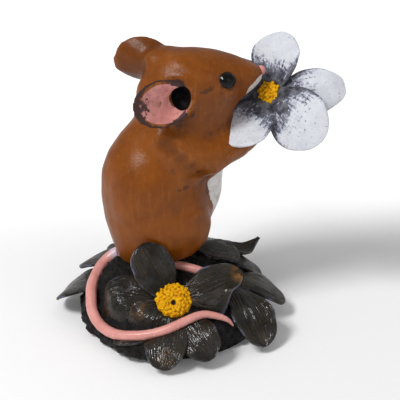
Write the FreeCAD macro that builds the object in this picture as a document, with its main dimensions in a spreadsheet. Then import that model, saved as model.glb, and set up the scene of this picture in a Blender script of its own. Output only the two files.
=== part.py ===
import FreeCAD, Part
import Sketcher
import math
import os

Vector = FreeCAD.Vector
Rotation = FreeCAD.Rotation
Placement = FreeCAD.Placement

# A mouse stands up on a mound of dark flower petals and sniffs a white flower.
# Millimetres and degrees. +X is the way the mouse looks, +Z is up, and the origin
# is the centre of the felt's flat underside.

doc = FreeCAD.newDocument("MouseFigurine")

# Driving dimensions

SIZES = [
    ("felt_radius", 22.6, "felt disc under the base"),
    ("felt_thickness", 0.8, "felt disc under the base"),
    ("felt_chamfer", 0.2, "edge of the felt"),
    ("mound_radius", 24.0, "base mound at the felt"),
    ("mound_height", 14.2, "felt to the seat on top of the mound"),
    ("pin_radius", 1.5, "dowel that pins the mouse to the mound"),
    ("pin_length", 9.0, "whole dowel"),
    ("pin_depth", 5.0, "dowel below the seat"),
    ("pin_chamfer", 0.3, "ends of the dowel"),
    ("pin_clearance", 0.1, "round the dowel"),
    ("mouse_x", -5.0, "centre of the mouse's seat"),
    ("mouse_y", 4.0, "centre of the mouse's seat"),
    ("mouse_yaw", 11.0, "turn of the mouse away from +X"),
    ("torso_depth", 30.0, "back to belly"),
    ("torso_height", 36.0, "seat to throat"),
    ("torso_width", 24.4, "across the hips"),
    ("head_length", 31.0, "nape to nose"),
    ("head_height", 20.8, "throat to crown"),
    ("head_width", 19.0, "across the cheeks"),
    ("haunch_length", 22.0, "thigh, front to back"),
    ("haunch_width", 12.8, "thigh, side to side"),
    ("haunch_height", 20.6, "thigh, up and down"),
    ("eye_diameter", 4.4, "glossy bead"),
    ("nose_diameter", 2.6, "pink tip"),
    ("ear_length", 13.2, "rim of an ear, front to back"),
    ("ear_height", 12.2, "rim of an ear, up and down"),
    ("ear_depth", 5.6, "head to rim"),
    ("ear_wall", 0.8, "edge of an ear"),
    ("arm_thickness", 10.6, "upper arm"),
    ("arm_reach", 27.0, "shoulder to wrist"),
    ("paw_length", 4.6, "palm"),
    ("finger_thickness", 0.9, "one finger"),
    ("foot_length", 10.5, "heel to toes"),
    ("foot_thickness", 2.3, "sole of a hind foot"),
    ("tail_thickness", 3.1, "tail at its root"),
    ("tail_spread", 24.0, "middle of the base to the outside of the tail's curl"),
    ("tail_rise", 15.0, "height that the tail comes down from"),
    ("petal_thickness", 1.3, "dark petal at its middle"),
    ("petal_rim", 0.6, "dark petal at its rim"),
    ("petal_width", 12.0, "usual dark petal"),
    ("petal_reach", 24.0, "middle of the base to a usual petal's tip"),
    ("petal_rise", 15.0, "height that the petals' places follow"),
    ("front_x", 0.5, "yellow heart of the flower on the base"),
    ("front_y", -15.6, "yellow heart of the flower on the base"),
    ("front_z", 12.8, "yellow heart of the flower on the base"),
    ("front_tilt", 38.0, "lean of that flower towards the front"),
    ("front_length", 15.0, "its petals, heart to tip"),
    ("front_width", 11.0, "its petals"),
    ("front_heart", 9.6, "diameter of its yellow heart"),
    ("bloom_x", 29.6, "heart of the white flower, from the mouse's seat"),
    ("bloom_y", -0.6, "heart of the white flower, from the mouse's seat"),
    ("bloom_z", 42.6, "heart of the white flower, from the mouse's seat"),
    ("bloom_length", 18.0, "white petal, heart to tip"),
    ("bloom_width", 14.5, "white petal"),
    ("bloom_thickness", 1.2, "white petal at its middle"),
    ("bloom_rim", 0.6, "white petal at its rim"),
    ("bloom_heart", 6.2, "diameter of the yellow heart at the mouse's mouth"),
    ("stem_radius", 0.9, "stem of the white flower"),
    ("stem_length", 12.0, "heart to the stem's cut end"),
    ("overrun", 0.5, "how far a cutting shape runs past what it cuts"),
]

# Flat facets round each kind of ring, and rings between two named ones.
MOUND_SIDES = 24
BODY_SIDES = 20
LIMB_SIDES = 10
TAIL_SIDES = 8
EAR_SIDES = 15
BALL_SIDES = 12
FINGER_SIDES = 5
PETAL_FACETS = 4
STEPS = 2

sheet = doc.addObject("Spreadsheet::Sheet", "Sizes")
for row, (alias, value, note) in enumerate(SIZES, start=1):
    sheet.set(f"A{row}", alias)
    sheet.set(f"B{row}", str(value))
    sheet.set(f"C{row}", note)
    sheet.setAlias(f"B{row}", alias)
doc.recompute()


def size(alias):
    return float(sheet.get(alias))


NODES = []


def node(obj, label):
    """Name a finished sub-part and keep it for the files."""
    obj.Label = label
    NODES.append(obj)
    return obj


def bind(obj, **expressions):
    for prop, expression in expressions.items():
        obj.setExpression(prop.replace("__", "."), expression)


# Shared shapes

def between(rows, steps=STEPS):
    """Rows of numbers with smooth rows between them, so that a few places give a flowing shape."""
    flowing = []
    for index in range(len(rows) - 1):
        before = rows[max(index - 1, 0)]
        here, there = rows[index], rows[index + 1]
        after = rows[min(index + 2, len(rows) - 1)]
        for step in range(steps):
            t = step / steps
            flowing.append(tuple(
                b + t * ((c - a) + t * (2 * a - 5 * b + 4 * c - d + t * (3 * b - a - 3 * c + d))) / 2
                for a, b, c, d in zip(before, here, there, after)))
    return flowing + [tuple(rows[-1])]


def facet(corners):
    return Part.Face(Part.makePolygon(corners + corners[:1]))


# A facet whose corners miss one plane by more than this is laid as two triangles.
FLATNESS = 1e-7


def closed(rings):
    """Solid with flat facets between rings of equally many points, and a cap at each end."""
    faces = [facet(rings[0]), facet(rings[-1])]
    for low, high in zip(rings, rings[1:]):
        for count in range(len(low)):
            after = (count + 1) % len(low)
            corners = [low[count], low[after], high[after], high[count]]
            lift = (corners[1] - corners[0]).cross(corners[2] - corners[0]).normalize()
            if abs(lift.dot(corners[3] - corners[0])) < FLATNESS:
                faces.append(facet(corners))
            else:
                faces.append(facet(corners[:3]))
                faces.append(facet([corners[0], corners[2], corners[3]]))
    return Part.Solid(Part.Shell(faces))


def skin(name, rings):
    """Closed piece over rings, which may run either way round."""
    solid = closed(rings)
    if solid.Volume < 0:
        solid = closed([ring[::-1] for ring in rings])
    feature = doc.addObject("Part::Feature", name)
    feature.Shape = solid
    return feature


def oval(centre, toward, side, half_toward, half_side, sides):
    """Points of an oval: half_toward along the first direction, half_side along the second."""
    turns = [2 * math.pi * count / sides for count in range(sides)]
    return [centre + toward * (half_toward * math.cos(turn)) + side * (half_side * math.sin(turn))
            for turn in turns]


def cut(name, base, *tools):
    """Base with each tool taken away in turn, so that the two meet face to face."""
    for count, tool in enumerate(tools):
        piece = doc.addObject("Part::Cut", f"{name}_{count}")
        piece.Base = base
        piece.Tool = tool
        base = piece
    return base


def trimmed(name, base, *tools):
    """Cut piece without the crumbs that a cut can leave beside it."""
    piece = cut(name, base, *tools)
    doc.recompute()
    solid = max(piece.Shape.Solids, key=lambda part: abs(part.Volume))
    if solid.Volume < 0:
        solid.reverse()
    feature = doc.addObject("Part::Feature", f"{name}_trimmed")
    feature.Shape = solid
    return feature


def fuse(name, *shapes):
    piece = doc.addObject("Part::MultiFuse", name)
    piece.Shapes = list(shapes)
    return piece


# Rings of a ball from its bottom to its top: height and radius, as shares of the half sizes.
BALL_SHARES = [(-0.98, 0.20), (-0.80, 0.60), (-0.42, 0.91), (0.00, 1.00),
               (0.42, 0.91), (0.80, 0.60), (0.98, 0.20)]


def ball(name, place, half_long, half_wide, half_high, sides=BALL_SIDES):
    """Closed oval bead about a placement."""
    along = place.Rotation.multVec(Vector(1, 0, 0))
    across = place.Rotation.multVec(Vector(0, 1, 0))
    rings = [oval(place.multVec(Vector(0, 0, half_high * height)), along, across,
                  half_long * radius, half_wide * radius, sides) for height, radius in BALL_SHARES]
    return skin(name, rings)


def limb(name, points, halves, sides=LIMB_SIDES):
    """Round limb through points; each ring is square to the run of the limb there."""
    rings = []
    last = len(points) - 1
    for index, (point, half) in enumerate(zip(points, halves)):
        run = (points[min(index + 1, last)] - points[max(index - 1, 0)]).normalize()
        side = run.cross(Vector(0, 0, 1)).normalize()
        rings.append(oval(point, side, run.cross(side), half, half, sides))
    return skin(name, rings)


def plane(body, role):
    return next(item for item in body.Origin.OriginFeatures if item.Role == role)


def disc(name, radius, length, chamfer):
    """Round pad with a chamfered rim, from expressions."""
    body = doc.addObject("PartDesign::Body", name)
    sketch = body.newObject("Sketcher::SketchObject", name + "_outline")
    sketch.AttachmentSupport = [(plane(body, "XY_Plane"), "")]
    sketch.MapMode = "FlatFace"
    sketch.addGeometry(Part.Circle(Vector(), Vector(0, 0, 1), 1))
    sketch.addConstraint(Sketcher.Constraint("Coincident", 0, 3, -1, 1))
    sketch.addConstraint(Sketcher.Constraint("Radius", 0, 1))
    sketch.setExpression("Constraints[1]", radius)
    pad = body.newObject("PartDesign::Pad", name + "_pad")
    pad.Profile = sketch
    bind(pad, Length=length)
    doc.recompute()
    edges = [f"Edge{count}" for count, edge in enumerate(pad.Shape.Edges, start=1)
             if isinstance(edge.Curve, Part.Circle)]
    rim = body.newObject("PartDesign::Chamfer", name + "_rim")
    rim.Base = (pad, edges)
    bind(rim, Size=chamfer)
    return body


def seat_height():
    return size("felt_thickness") + size("mound_height")


def mouse_placement():
    return Placement(Vector(size("mouse_x"), size("mouse_y"), seat_height()),
                     Rotation(Vector(0, 0, 1), size("mouse_yaw")))


def on_mouse(obj):
    """Stand a piece that was made about the mouse's seat on the mound."""
    obj.Placement = mouse_placement()
    bind(obj, Placement__Base__x="Sizes.mouse_x", Placement__Base__y="Sizes.mouse_y",
         Placement__Base__z="Sizes.felt_thickness + Sizes.mound_height")
    return obj


def standing(obj, name):
    """The same piece, as it stands on the mound."""
    whole = doc.addObject("Part::Compound", name)
    whole.Links = [obj]
    return on_mouse(whole)


# Petals

# How a petal runs from its root to its tip: place, half width and thickness, as shares.
PETAL_SHARES = [
    (0.00, 0.38, 1.00),
    (0.20, 0.76, 1.00),
    (0.45, 1.00, 1.00),
    (0.70, 0.93, 0.95),
    (0.89, 0.60, 0.80),
    (1.00, 0.15, 0.60),
]


def crescent(centre, side, up, half_width, dish, body, rim):
    """Cross-section of a petal, dished by dish, body thick in the middle and rim thick at the sides."""
    lower = []
    upper = []
    for count in range(PETAL_FACETS + 1):
        across = 2 * count / PETAL_FACETS - 1
        floor = dish * across * across
        wall = body - (body - rim) * across * across
        lower.append(centre + side * (half_width * across) + up * floor)
        upper.append(centre + side * (half_width * across) + up * (floor + wall))
    return lower + upper[::-1]


def petal(name, root, tip, up, width, dish, arch, body, rim):
    """Petal from root to tip, made of crescent sections.

    dish is a share of the width: a positive one lifts the sides.
    arch is a share of the length: a positive one lifts the middle.
    """
    chord = tip - root
    length = chord.Length
    along = Vector(chord).normalize()
    normal = (up - along * up.dot(along)).normalize()
    side = normal.cross(along)
    sections = []
    for place, half_share, body_share in between(PETAL_SHARES):
        lift = 4 * arch * length * place * (1 - place)
        slope = 4 * arch * (1 - 2 * place)
        centre = root + along * (length * place) + normal * lift
        section_up = (normal - along * slope).normalize()
        sections.append(crescent(centre, side, section_up, width / 2 * half_share,
                                 dish * width * half_share * half_share,
                                 body * body_share, rim * body_share))
    return skin(name, sections)


# Base

# Centre x, centre y, radius and height of the mound's rings, as shares of its radius and height.
MOUND_SHARES = [
    (0.00, 0.00, 0.96, 0.00),
    (0.00, 0.00, 1.00, 0.10),
    (-0.01, 0.01, 0.92, 0.42),
    (-0.04, 0.04, 0.74, 0.74),
    (-0.10, 0.08, 0.59, 0.94),
    (-0.12, 0.10, 0.50, 1.00),
]


def make_felt():
    return node(disc("Felt", "Sizes.felt_radius", "Sizes.felt_thickness", "Sizes.felt_chamfer"), "felt_pad")


def make_mound(*seated):
    """Heap under the petals, with a pocket for each piece that is let into it."""
    rings = []
    for x_share, y_share, radius_share, height_share in MOUND_SHARES:
        radius = size("mound_radius")
        centre = Vector(radius * x_share, radius * y_share,
                        size("felt_thickness") + size("mound_height") * height_share)
        rings.append(oval(centre, Vector(1, 0, 0), Vector(0, 1, 0),
                          radius * radius_share, radius * radius_share, MOUND_SIDES))
    heap = skin("Mound_heap", rings)
    hole = doc.addObject("Part::Cylinder", "Mound_hole")
    bind(hole, Radius="Sizes.pin_radius + Sizes.pin_clearance", Height="Sizes.pin_depth + Sizes.overrun",
         Placement__Base__x="Sizes.mouse_x", Placement__Base__y="Sizes.mouse_y",
         Placement__Base__z="Sizes.felt_thickness + Sizes.mound_height - Sizes.pin_depth")
    return node(cut("Mound", heap, hole, *seated), "base_mound")


def make_dowel():
    dowel = disc("Dowel", "Sizes.pin_radius", "Sizes.pin_length", "Sizes.pin_chamfer")
    bind(dowel, Placement__Base__x="Sizes.mouse_x", Placement__Base__y="Sizes.mouse_y",
         Placement__Base__z="Sizes.felt_thickness + Sizes.mound_height - Sizes.pin_depth")
    return node(dowel, "fixing_dowel")


def base_point(azimuth, reach_share, rise_share):
    """Place on the base, by its compass angle and shares of the petals' reach and rise."""
    reach = size("petal_reach") * reach_share
    return Vector(reach * math.cos(math.radians(azimuth)), reach * math.sin(math.radians(azimuth)),
                  size("petal_rise") * rise_share)


# Petals round the mound. Root and tip are compass angle, reach share and rise share; then the
# width share, the dish and arch shares, and the petals that it is laid against.
MOUND_PETAL_SHARES = [
    ("petal_left_low", (180, 0.60, 0.60), (164, 1.25, 0.11), 1.30, 0.03, 0.09, ("tail",)),
    ("petal_left_high", (150, 0.52, 0.88), (147, 1.17, 0.40), 0.92, 0.05, 0.07, ("petal_left_low", "tail")),
    ("petal_back_left", (122, 0.60, 0.76), (118, 1.22, 0.16), 1.00, 0.06, 0.10, ("petal_left_high",)),
    ("petal_back", (93, 0.62, 0.76), (92, 1.20, 0.20), 1.00, 0.06, 0.10, ("petal_back_left",)),
    ("petal_back_right", (64, 0.60, 0.76), (67, 1.24, 0.20), 1.00, 0.06, 0.10, ("petal_back",)),
    ("petal_curl", (44, 0.46, 0.92), (43, 1.28, 0.60), 0.88, 0.14, -0.06, ("petal_back_right",)),
    ("petal_right_broad", (50, 0.36, 0.98), (16, 0.74, 0.88), 0.86, 0.05, 0.06, ("petal_curl",)),
    ("petal_right_short", (28, 0.58, 0.78), (21, 1.03, 0.32), 0.72, 0.06, 0.08,
     ("petal_curl", "petal_right_broad")),
    ("petal_right_far", (-2, 0.60, 0.66), (-2, 1.20, 0.16), 0.80, 0.06, 0.10, ("petal_right_short",)),
    ("petal_right_cupped", (-18, 0.68, 0.70), (-36, 1.20, 0.06), 0.98, -0.16, 0.14, ("petal_right_far",)),
]


def make_mound_petals(made):
    for name, root, tip, width_share, dish, arch, beside in MOUND_PETAL_SHARES:
        blank = petal(name + "_blank", base_point(*root), base_point(*tip), Vector(0, 0, 1),
                      size("petal_width") * width_share, dish, arch,
                      size("petal_thickness"), size("petal_rim"))
        lying = [made[other] for other in ("mound",) + beside]
        made[name] = node(trimmed(name, blank, *lying), name)


# Flower on the front of the base. Each petal has its compass angle about the heart, the length
# and width shares, the rise of root and tip over the heart's plane as shares of the length,
# the dish and arch shares, and the petals that it is laid against.
FRONT_PETAL_SHARES = [
    ("front_petal_lower_left", -99, 1.24, 1.00, -0.12, 0.00, 0.10, 0.04, ("tail",)),
    ("front_petal_lower_right", -58, 1.22, 0.96, -0.12, -0.04, 0.10, 0.04,
     ("tail", "front_petal_lower_left", "petal_right_cupped")),
    ("front_petal_left", -150, 1.10, 0.78, -0.10, -0.04, 0.18, 0.00, ("tail", "front_petal_lower_left")),
    ("front_petal_left_upper", 170, 1.22, 0.86, -0.10, -0.12, 0.12, 0.05, ("tail", "front_petal_left")),
    ("front_petal_right", 20, 1.25, 0.96, -0.10, -0.14, 0.16, 0.06,
     ("tail", "front_petal_lower_right", "petal_right_cupped")),
    ("front_petal_up", 125, 0.98, 1.02, -0.08, 0.46, 0.12, -0.03,
     ("body", "front_petal_right", "front_petal_left_upper", "front_petal_left")),
]


def flower_placement(centre, normal):
    side = Vector(0, 0, 1).cross(normal).normalize()
    return Placement(centre, Rotation(side, normal.cross(side), normal, "ZXY"))


def flower_blanks(place, rows, length, width, body, rim, inner):
    """Petals of one flower before they are trimmed, by name."""
    blanks = {}
    for name, azimuth, length_share, width_share, root_rise, tip_rise, dish, arch, _ in rows:
        out = Vector(math.cos(math.radians(azimuth)), math.sin(math.radians(azimuth)), 0)
        root = out * inner + Vector(0, 0, length * root_rise)
        tip = out * (length * length_share) + Vector(0, 0, length * tip_rise)
        blanks[name] = petal(name + "_blank", place.multVec(root), place.multVec(tip),
                             place.Rotation.multVec(Vector(0, 0, 1)), width * width_share,
                             dish, arch, body, rim)
    return blanks


# A flower's heart, as shares of its diameter: height of its dome, radius of its dimple, how far
# off the middle the dimple is, its floor, and where the petals start inside the heart.
HEART_DOME_SHARE = 0.27
HEART_DIMPLE_SHARE = 0.05
HEART_OFFSET_SHARE = 0.14
HEART_FLOOR_SHARE = 0.19
HEART_INNER_SHARE = 0.2


def heart(name, place, diameter):
    """Domed disc in the middle of a flower, with a small dimple in its top."""
    dome = ball(name + "_dome", place, diameter / 2, diameter / 2, diameter * HEART_DOME_SHARE)
    dimple = doc.addObject("Part::Cylinder", name + "_dimple")
    dimple.Radius = diameter * HEART_DIMPLE_SHARE
    dimple.Height = diameter * HEART_DOME_SHARE
    spot = Vector(0, -diameter * HEART_OFFSET_SHARE, diameter * HEART_FLOOR_SHARE)
    dimple.Placement = Placement(place.multVec(spot), place.Rotation)
    return cut(name, dome, dimple)


def front_placement():
    tilt = math.radians(size("front_tilt"))
    return flower_placement(Vector(size("front_x"), size("front_y"), size("front_z")),
                            Vector(0, -math.sin(tilt), math.cos(tilt)))


def make_front_flower(made):
    blanks = flower_blanks(front_placement(), FRONT_PETAL_SHARES, size("front_length"),
                           size("front_width"), size("petal_thickness"), size("petal_rim"),
                           size("front_heart") * HEART_INNER_SHARE)
    for row in FRONT_PETAL_SHARES:
        name = row[0]
        lying = [made[other] for other in ("mound", "front_heart") + row[-1]]
        made[name] = node(trimmed(name, blanks[name], *lying), name)


# Mouse

# Sections of the torso in the mouse's middle plane: back x, back z, front x, front z and half
# width, as shares of the depth, the height and the width.
TORSO_SHARES = [
    (-0.300, 0.000, 0.250, 0.000, 0.350),
    (-0.353, 0.150, 0.375, 0.125, 0.440),
    (-0.407, 0.320, 0.488, 0.264, 0.490),
    (-0.433, 0.500, 0.545, 0.417, 0.484),
    (-0.427, 0.680, 0.573, 0.569, 0.446),
    (-0.373, 0.811, 0.600, 0.722, 0.418),
    (-0.273, 0.933, 0.627, 0.861, 0.389),
    (-0.160, 1.039, 0.660, 0.960, 0.365),
]
# The head's shares are counted from the throat, by its length, height and width.
HEAD_SHARES = [
    (-0.545, 0.330, 0.190, 0.120, 0.432),
    (-0.528, 0.590, 0.212, 0.200, 0.442),
    (-0.452, 0.827, 0.228, 0.262, 0.458),
    (-0.310, 1.000, 0.242, 0.310, 0.462),
    (-0.116, 0.990, 0.256, 0.342, 0.440),
    (0.058, 0.947, 0.274, 0.368, 0.385),
    (0.206, 0.875, 0.300, 0.392, 0.310),
    (0.323, 0.793, 0.340, 0.430, 0.235),
    (0.406, 0.726, 0.390, 0.486, 0.155),
    (0.455, 0.673, 0.432, 0.552, 0.085),
]
THROAT_SHARES = (0.473, 0.972)


def torso_point(x_share, y_share, z_share):
    """Place on the torso, by shares of its depth, half width and height."""
    return Vector(size("torso_depth") * x_share, size("torso_width") / 2 * y_share,
                  size("torso_height") * z_share)


def head_point(x_share, y_share, z_share):
    """Place on the head, counted from the throat by shares of its length, half width and height."""
    throat = torso_point(THROAT_SHARES[0], 0, THROAT_SHARES[1])
    return throat + Vector(size("head_length") * x_share, size("head_width") / 2 * y_share,
                           size("head_height") * z_share)


def body_ring(back, front, half_width):
    toward = back - front
    half = toward.Length / 2
    return oval((back + front) / 2, toward.normalize(), Vector(0, 1, 0), half, half_width, BODY_SIDES)


def make_fur():
    """Torso, neck and head in one skin from the seat to the muzzle."""
    places = [(torso_point(row[0], 0, row[1]), torso_point(row[2], 0, row[3]), size("torso_width") * row[4])
              for row in TORSO_SHARES]
    places += [(head_point(row[0], 0, row[1]), head_point(row[2], 0, row[3]), size("head_width") * row[4])
               for row in HEAD_SHARES]
    return skin("Fur", [body_ring(*place) for place in places])


HAUNCH_SHARES = (0.10, 0.60, 0.330)


def make_body(eyes):
    thighs = []
    for side, word in ((-1, "Right"), (1, "Left")):
        centre = torso_point(HAUNCH_SHARES[0], HAUNCH_SHARES[1] * side, HAUNCH_SHARES[2])
        thighs.append(ball(f"{word}_thigh", Placement(centre, Rotation()), size("haunch_length") / 2,
                           size("haunch_width") / 2, size("haunch_height") / 2, BODY_SIDES))
    whole = fuse("Body_whole", make_fur(), *thighs)
    hole = doc.addObject("Part::Cylinder", "Body_hole")
    bind(hole, Radius="Sizes.pin_radius + Sizes.pin_clearance",
         Height="Sizes.pin_length - Sizes.pin_depth + Sizes.overrun",
         Placement__Base__z="-Sizes.overrun")
    return cut("Body", whole, *eyes, hole)


EYE_SHARES = (0.110, 0.660, 0.700)
NOSE_SHARES = (0.452, 0, 0.640)


def make_eye(side, word):
    half = size("eye_diameter") / 2
    centre = head_point(EYE_SHARES[0], EYE_SHARES[1] * side, EYE_SHARES[2])
    return ball(f"{word}_eye_bead", Placement(centre, Rotation(Vector(1, 0, 0), 90)), half, half, half)


# Rings of an ear from the head to its rim: place along the ear and size, as shares.
EAR_SHARES = {
    "Right": [(0.00, 0.46), (0.24, 0.62), (0.52, 0.80), (0.78, 0.93), (1.00, 1.00)],
    "Left": [(0.00, 0.74), (0.24, 0.80), (0.52, 0.90), (0.78, 0.97), (1.00, 1.00)],
}
# Root and rim of each ear, as places on the head, and the way that its open side faces.
EARS = [
    ("Right", (-0.215, -0.74, 0.500), (-0.425, -1.22, 0.600), (0.55, -1.00, 0.25)),
    ("Left", (-0.360, 0.56, 0.700), (-0.580, 1.22, 0.800), (0.43, 0.98, 0.07)),
]

# How far each ring turns from the ear's run to its open side, at the root and over the whole ear.
EAR_TURN_SHARES = (0.5, 0.3)


def make_ear(word, root_shares, rim_shares, face, body):
    root = head_point(*root_shares)
    away = (head_point(*rim_shares) - root).normalize()
    facing = Vector(*face).normalize()
    shells = []
    for layer, wall, past in (("outer", 0, 0), ("inner", size("ear_wall"), size("overrun"))):
        rings = []
        for place, ring_share in EAR_SHARES[word]:
            normal = (away * (EAR_TURN_SHARES[0] - EAR_TURN_SHARES[1] * place)
                      + facing * (EAR_TURN_SHARES[0] + EAR_TURN_SHARES[1] * place)).normalize()
            across = Vector(0, 0, 1).cross(normal).normalize()
            depth = size("ear_depth") * place
            centre = root + away * depth + normal * (wall * (1 - place) + past * place)
            rings.append(oval(centre, across, normal.cross(across),
                              size("ear_length") / 2 * ring_share - wall,
                              size("ear_height") / 2 * ring_share - wall, EAR_SIDES))
        shells.append(skin(f"{word}_ear_{layer}", rings))
    return trimmed(f"{word}_ear", *shells, body)


# Arms from shoulder to wrist: reach, width and rise shares, and half thickness share.
ARM_SHARES = {
    "Right": [(-0.06, -0.38, 1.010, 0.44), (0.12, -0.60, 0.920, 0.52), (0.32, -0.64, 0.840, 0.50),
              (0.52, -0.52, 0.850, 0.45), (0.70, -0.32, 0.875, 0.38), (0.86, -0.10, 0.905, 0.30),
              (1.00, 0.10, 0.945, 0.24), (1.08, 0.20, 0.990, 0.20)],
    "Left": [(-0.06, 0.40, 1.010, 0.44), (0.12, 0.64, 0.920, 0.52), (0.32, 0.74, 0.845, 0.50),
             (0.53, 0.80, 0.855, 0.44), (0.74, 0.80, 0.880, 0.37), (0.90, 0.74, 0.925, 0.30),
             (1.00, 0.66, 0.970, 0.24), (1.08, 0.56, 1.020, 0.20)],
}
SHOULDER_SHARE = 0.07


def arm_rows(word):
    """Points from shoulder to wrist, with the half thickness at each."""
    start = size("torso_depth") * SHOULDER_SHARE
    rows = [(start + size("arm_reach") * reach, size("torso_width") / 2 * across,
             size("torso_height") * rise, size("arm_thickness") * half)
            for reach, across, rise, half in ARM_SHARES[word]]
    return between(rows)


def make_arm(word, body):
    rows = arm_rows(word)
    return cut(f"{word}_arm", limb(f"{word}_arm_blank", [Vector(*row[:3]) for row in rows],
                                   [row[3] for row in rows]), body)


# Hind feet: forward, outward and rise shares of the foot's length, and half thickness share.
FOOT_SHARES = {
    "Right": [(0.20, -0.74, 0.16, 0.42), (0.50, -0.92, 0.13, 0.50), (0.80, -1.10, 0.10, 0.52),
              (1.08, -1.27, 0.05, 0.46), (1.22, -1.36, 0.02, 0.30)],
    "Left": [(0.20, 0.60, 0.14, 0.42), (0.50, 0.70, 0.12, 0.50), (0.80, 0.78, 0.08, 0.52),
             (1.10, 0.84, -0.02, 0.46), (1.24, 0.87, -0.08, 0.30)],
}


def make_foot(word, body):
    length = size("foot_length")
    rows = between([(length * forward, length * outward, length * rise, size("foot_thickness") * half)
                    for forward, outward, rise, half in FOOT_SHARES[word]])
    return cut(f"{word}_foot", limb(f"{word}_foot_blank", [Vector(*row[:3]) for row in rows],
                                    [row[3] for row in rows]), body)


# Tail over the base: compass angle, spread share, rise share and half thickness share.
TAIL_SHARES = [
    (161, 0.540, 1.08, 0.50),
    (165, 0.655, 0.98, 0.50),
    (172, 0.745, 0.86, 0.50),
    (184, 0.812, 0.770, 0.50),
    (193, 0.865, 0.705, 0.50),
    (202, 0.910, 0.620, 0.49),
    (211, 0.963, 0.490, 0.48),
    (223, 0.998, 0.395, 0.46),
    (235, 1.004, 0.375, 0.45),
    (245, 0.987, 0.420, 0.44),
    (254, 0.968, 0.470, 0.42),
    (263, 0.942, 0.535, 0.41),
    (270, 0.918, 0.600, 0.40),
    (278, 0.884, 0.665, 0.38),
    (287, 0.850, 0.712, 0.36),
    (295, 0.850, 0.710, 0.33),
    (304, 0.903, 0.635, 0.28),
    (309, 0.940, 0.540, 0.20),
    (311, 0.975, 0.440, 0.09),
]


def make_tail(body):
    points = []
    halves = []
    for azimuth, spread, rise, half in between(TAIL_SHARES):
        angle = math.radians(azimuth)
        radius = size("tail_spread") * spread
        points.append(Vector(radius * math.cos(angle), radius * math.sin(angle), size("tail_rise") * rise))
        halves.append(size("tail_thickness") * half)
    return node(cut("Tail", limb("Tail_blank", points, halves, TAIL_SIDES), body), "tail")


# White flower, in the same columns as the flower on the base.
BLOOM_PETAL_SHARES = [
    ("bloom_petal_far", 178, 0.80, 0.90, -0.07, -0.06, 0.08, 0.06, ()),
    ("bloom_petal_top", 94, 0.86, 0.94, -0.07, -0.04, 0.10, 0.08, ("bloom_petal_far",)),
    ("bloom_petal_right", 20, 1.00, 0.76, -0.12, -0.34, -0.10, 0.14, ("bloom_petal_top",)),
    ("bloom_petal_low_left", -95, 0.78, 0.98, -0.07, 0.26, 0.08, -0.02,
     ("bloom_petal_far", "right_arm")),
    ("bloom_petal_low_right", -22, 1.06, 1.08, -0.05, -0.06, -0.06, 0.12,
     ("bloom_petal_low_left", "bloom_petal_right", "bloom_petal_top")),
]
BLOOM_FACE_SHARES = (-0.50, -0.70, 0.50)


def bloom_placement():
    centre = mouse_placement().multVec(Vector(size("bloom_x"), size("bloom_y"), size("bloom_z")))
    return flower_placement(centre, Vector(*BLOOM_FACE_SHARES).normalize())


def make_bloom(made):
    place = bloom_placement()
    made["bloom_heart"] = node(heart("Bloom_heart", place, size("bloom_heart")), "bloom_heart")
    stalk = doc.addObject("Part::Cylinder", "Stalk")
    bind(stalk, Radius="Sizes.stem_radius", Height="Sizes.stem_length")
    stalk.Placement = place.multiply(Placement(Vector(0, 0, -size("stem_length")), Rotation()))
    made["stem"] = node(cut("Stem", stalk, made["bloom_heart"]), "bloom_stem")
    blanks = flower_blanks(place, BLOOM_PETAL_SHARES, size("bloom_length"), size("bloom_width"),
                           size("bloom_thickness"), size("bloom_rim"),
                           size("bloom_heart") * HEART_INNER_SHARE)
    for row in BLOOM_PETAL_SHARES:
        name = row[0]
        lying = [made[other] for other in ("bloom_heart", "stem", "body") + row[-1]]
        made[name] = node(trimmed(name, blanks[name], *lying), name)


# Front paws on the stem: the palm's angle round the stem, its depth behind the heart as a
# share of the stem, how far the fingers reach round the stem, and what the paw is laid against.
PAW_SHARES = {
    "Right": (-105, 0.43, 190, ("bloom_petal_low_left",)),
    "Left": (-165, 0.75, -190, ("right_paw", "right_arm")),
}
FINGERS = 4
FINGER_POINTS = 4


def make_finger(name, place, turn, sweep, depth):
    half = size("finger_thickness") / 2
    radius = size("stem_radius") + size("pin_clearance") + half
    angles = [math.radians(turn + sweep * count / FINGER_POINTS) for count in range(FINGER_POINTS + 1)]
    points = [place.multVec(Vector(radius * math.cos(angle), radius * math.sin(angle), -depth))
              for angle in angles]
    return limb(name, points, [half] * len(points), FINGER_SIDES)


def make_paw(word, made):
    """Palm against the stem, with fingers that close round it."""
    turn, depth_share, sweep, beside = PAW_SHARES[word]
    place = bloom_placement()
    depth = size("stem_length") * depth_share
    out = size("stem_radius") + size("paw_length") / 2
    angle = math.radians(turn)
    palm_place = place.multiply(Placement(Vector(out * math.cos(angle), out * math.sin(angle), -depth),
                                          Rotation()))
    half = size("paw_length") / 2
    parts = [ball(f"{word}_palm", palm_place, half, half, half)]
    for count in range(FINGERS):
        level = depth + size("finger_thickness") * (count - (FINGERS - 1) / 2)
        parts.append(make_finger(f"{word}_finger_{count}", place, turn, sweep, level))
    label = f"{word.lower()}_paw"
    lying = [made[other] for other in ("stem", f"{word.lower()}_arm") + beside]
    made[label] = node(cut(f"{word}_paw", fuse(f"{word}_paw_whole", *parts), *lying), label)


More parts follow.
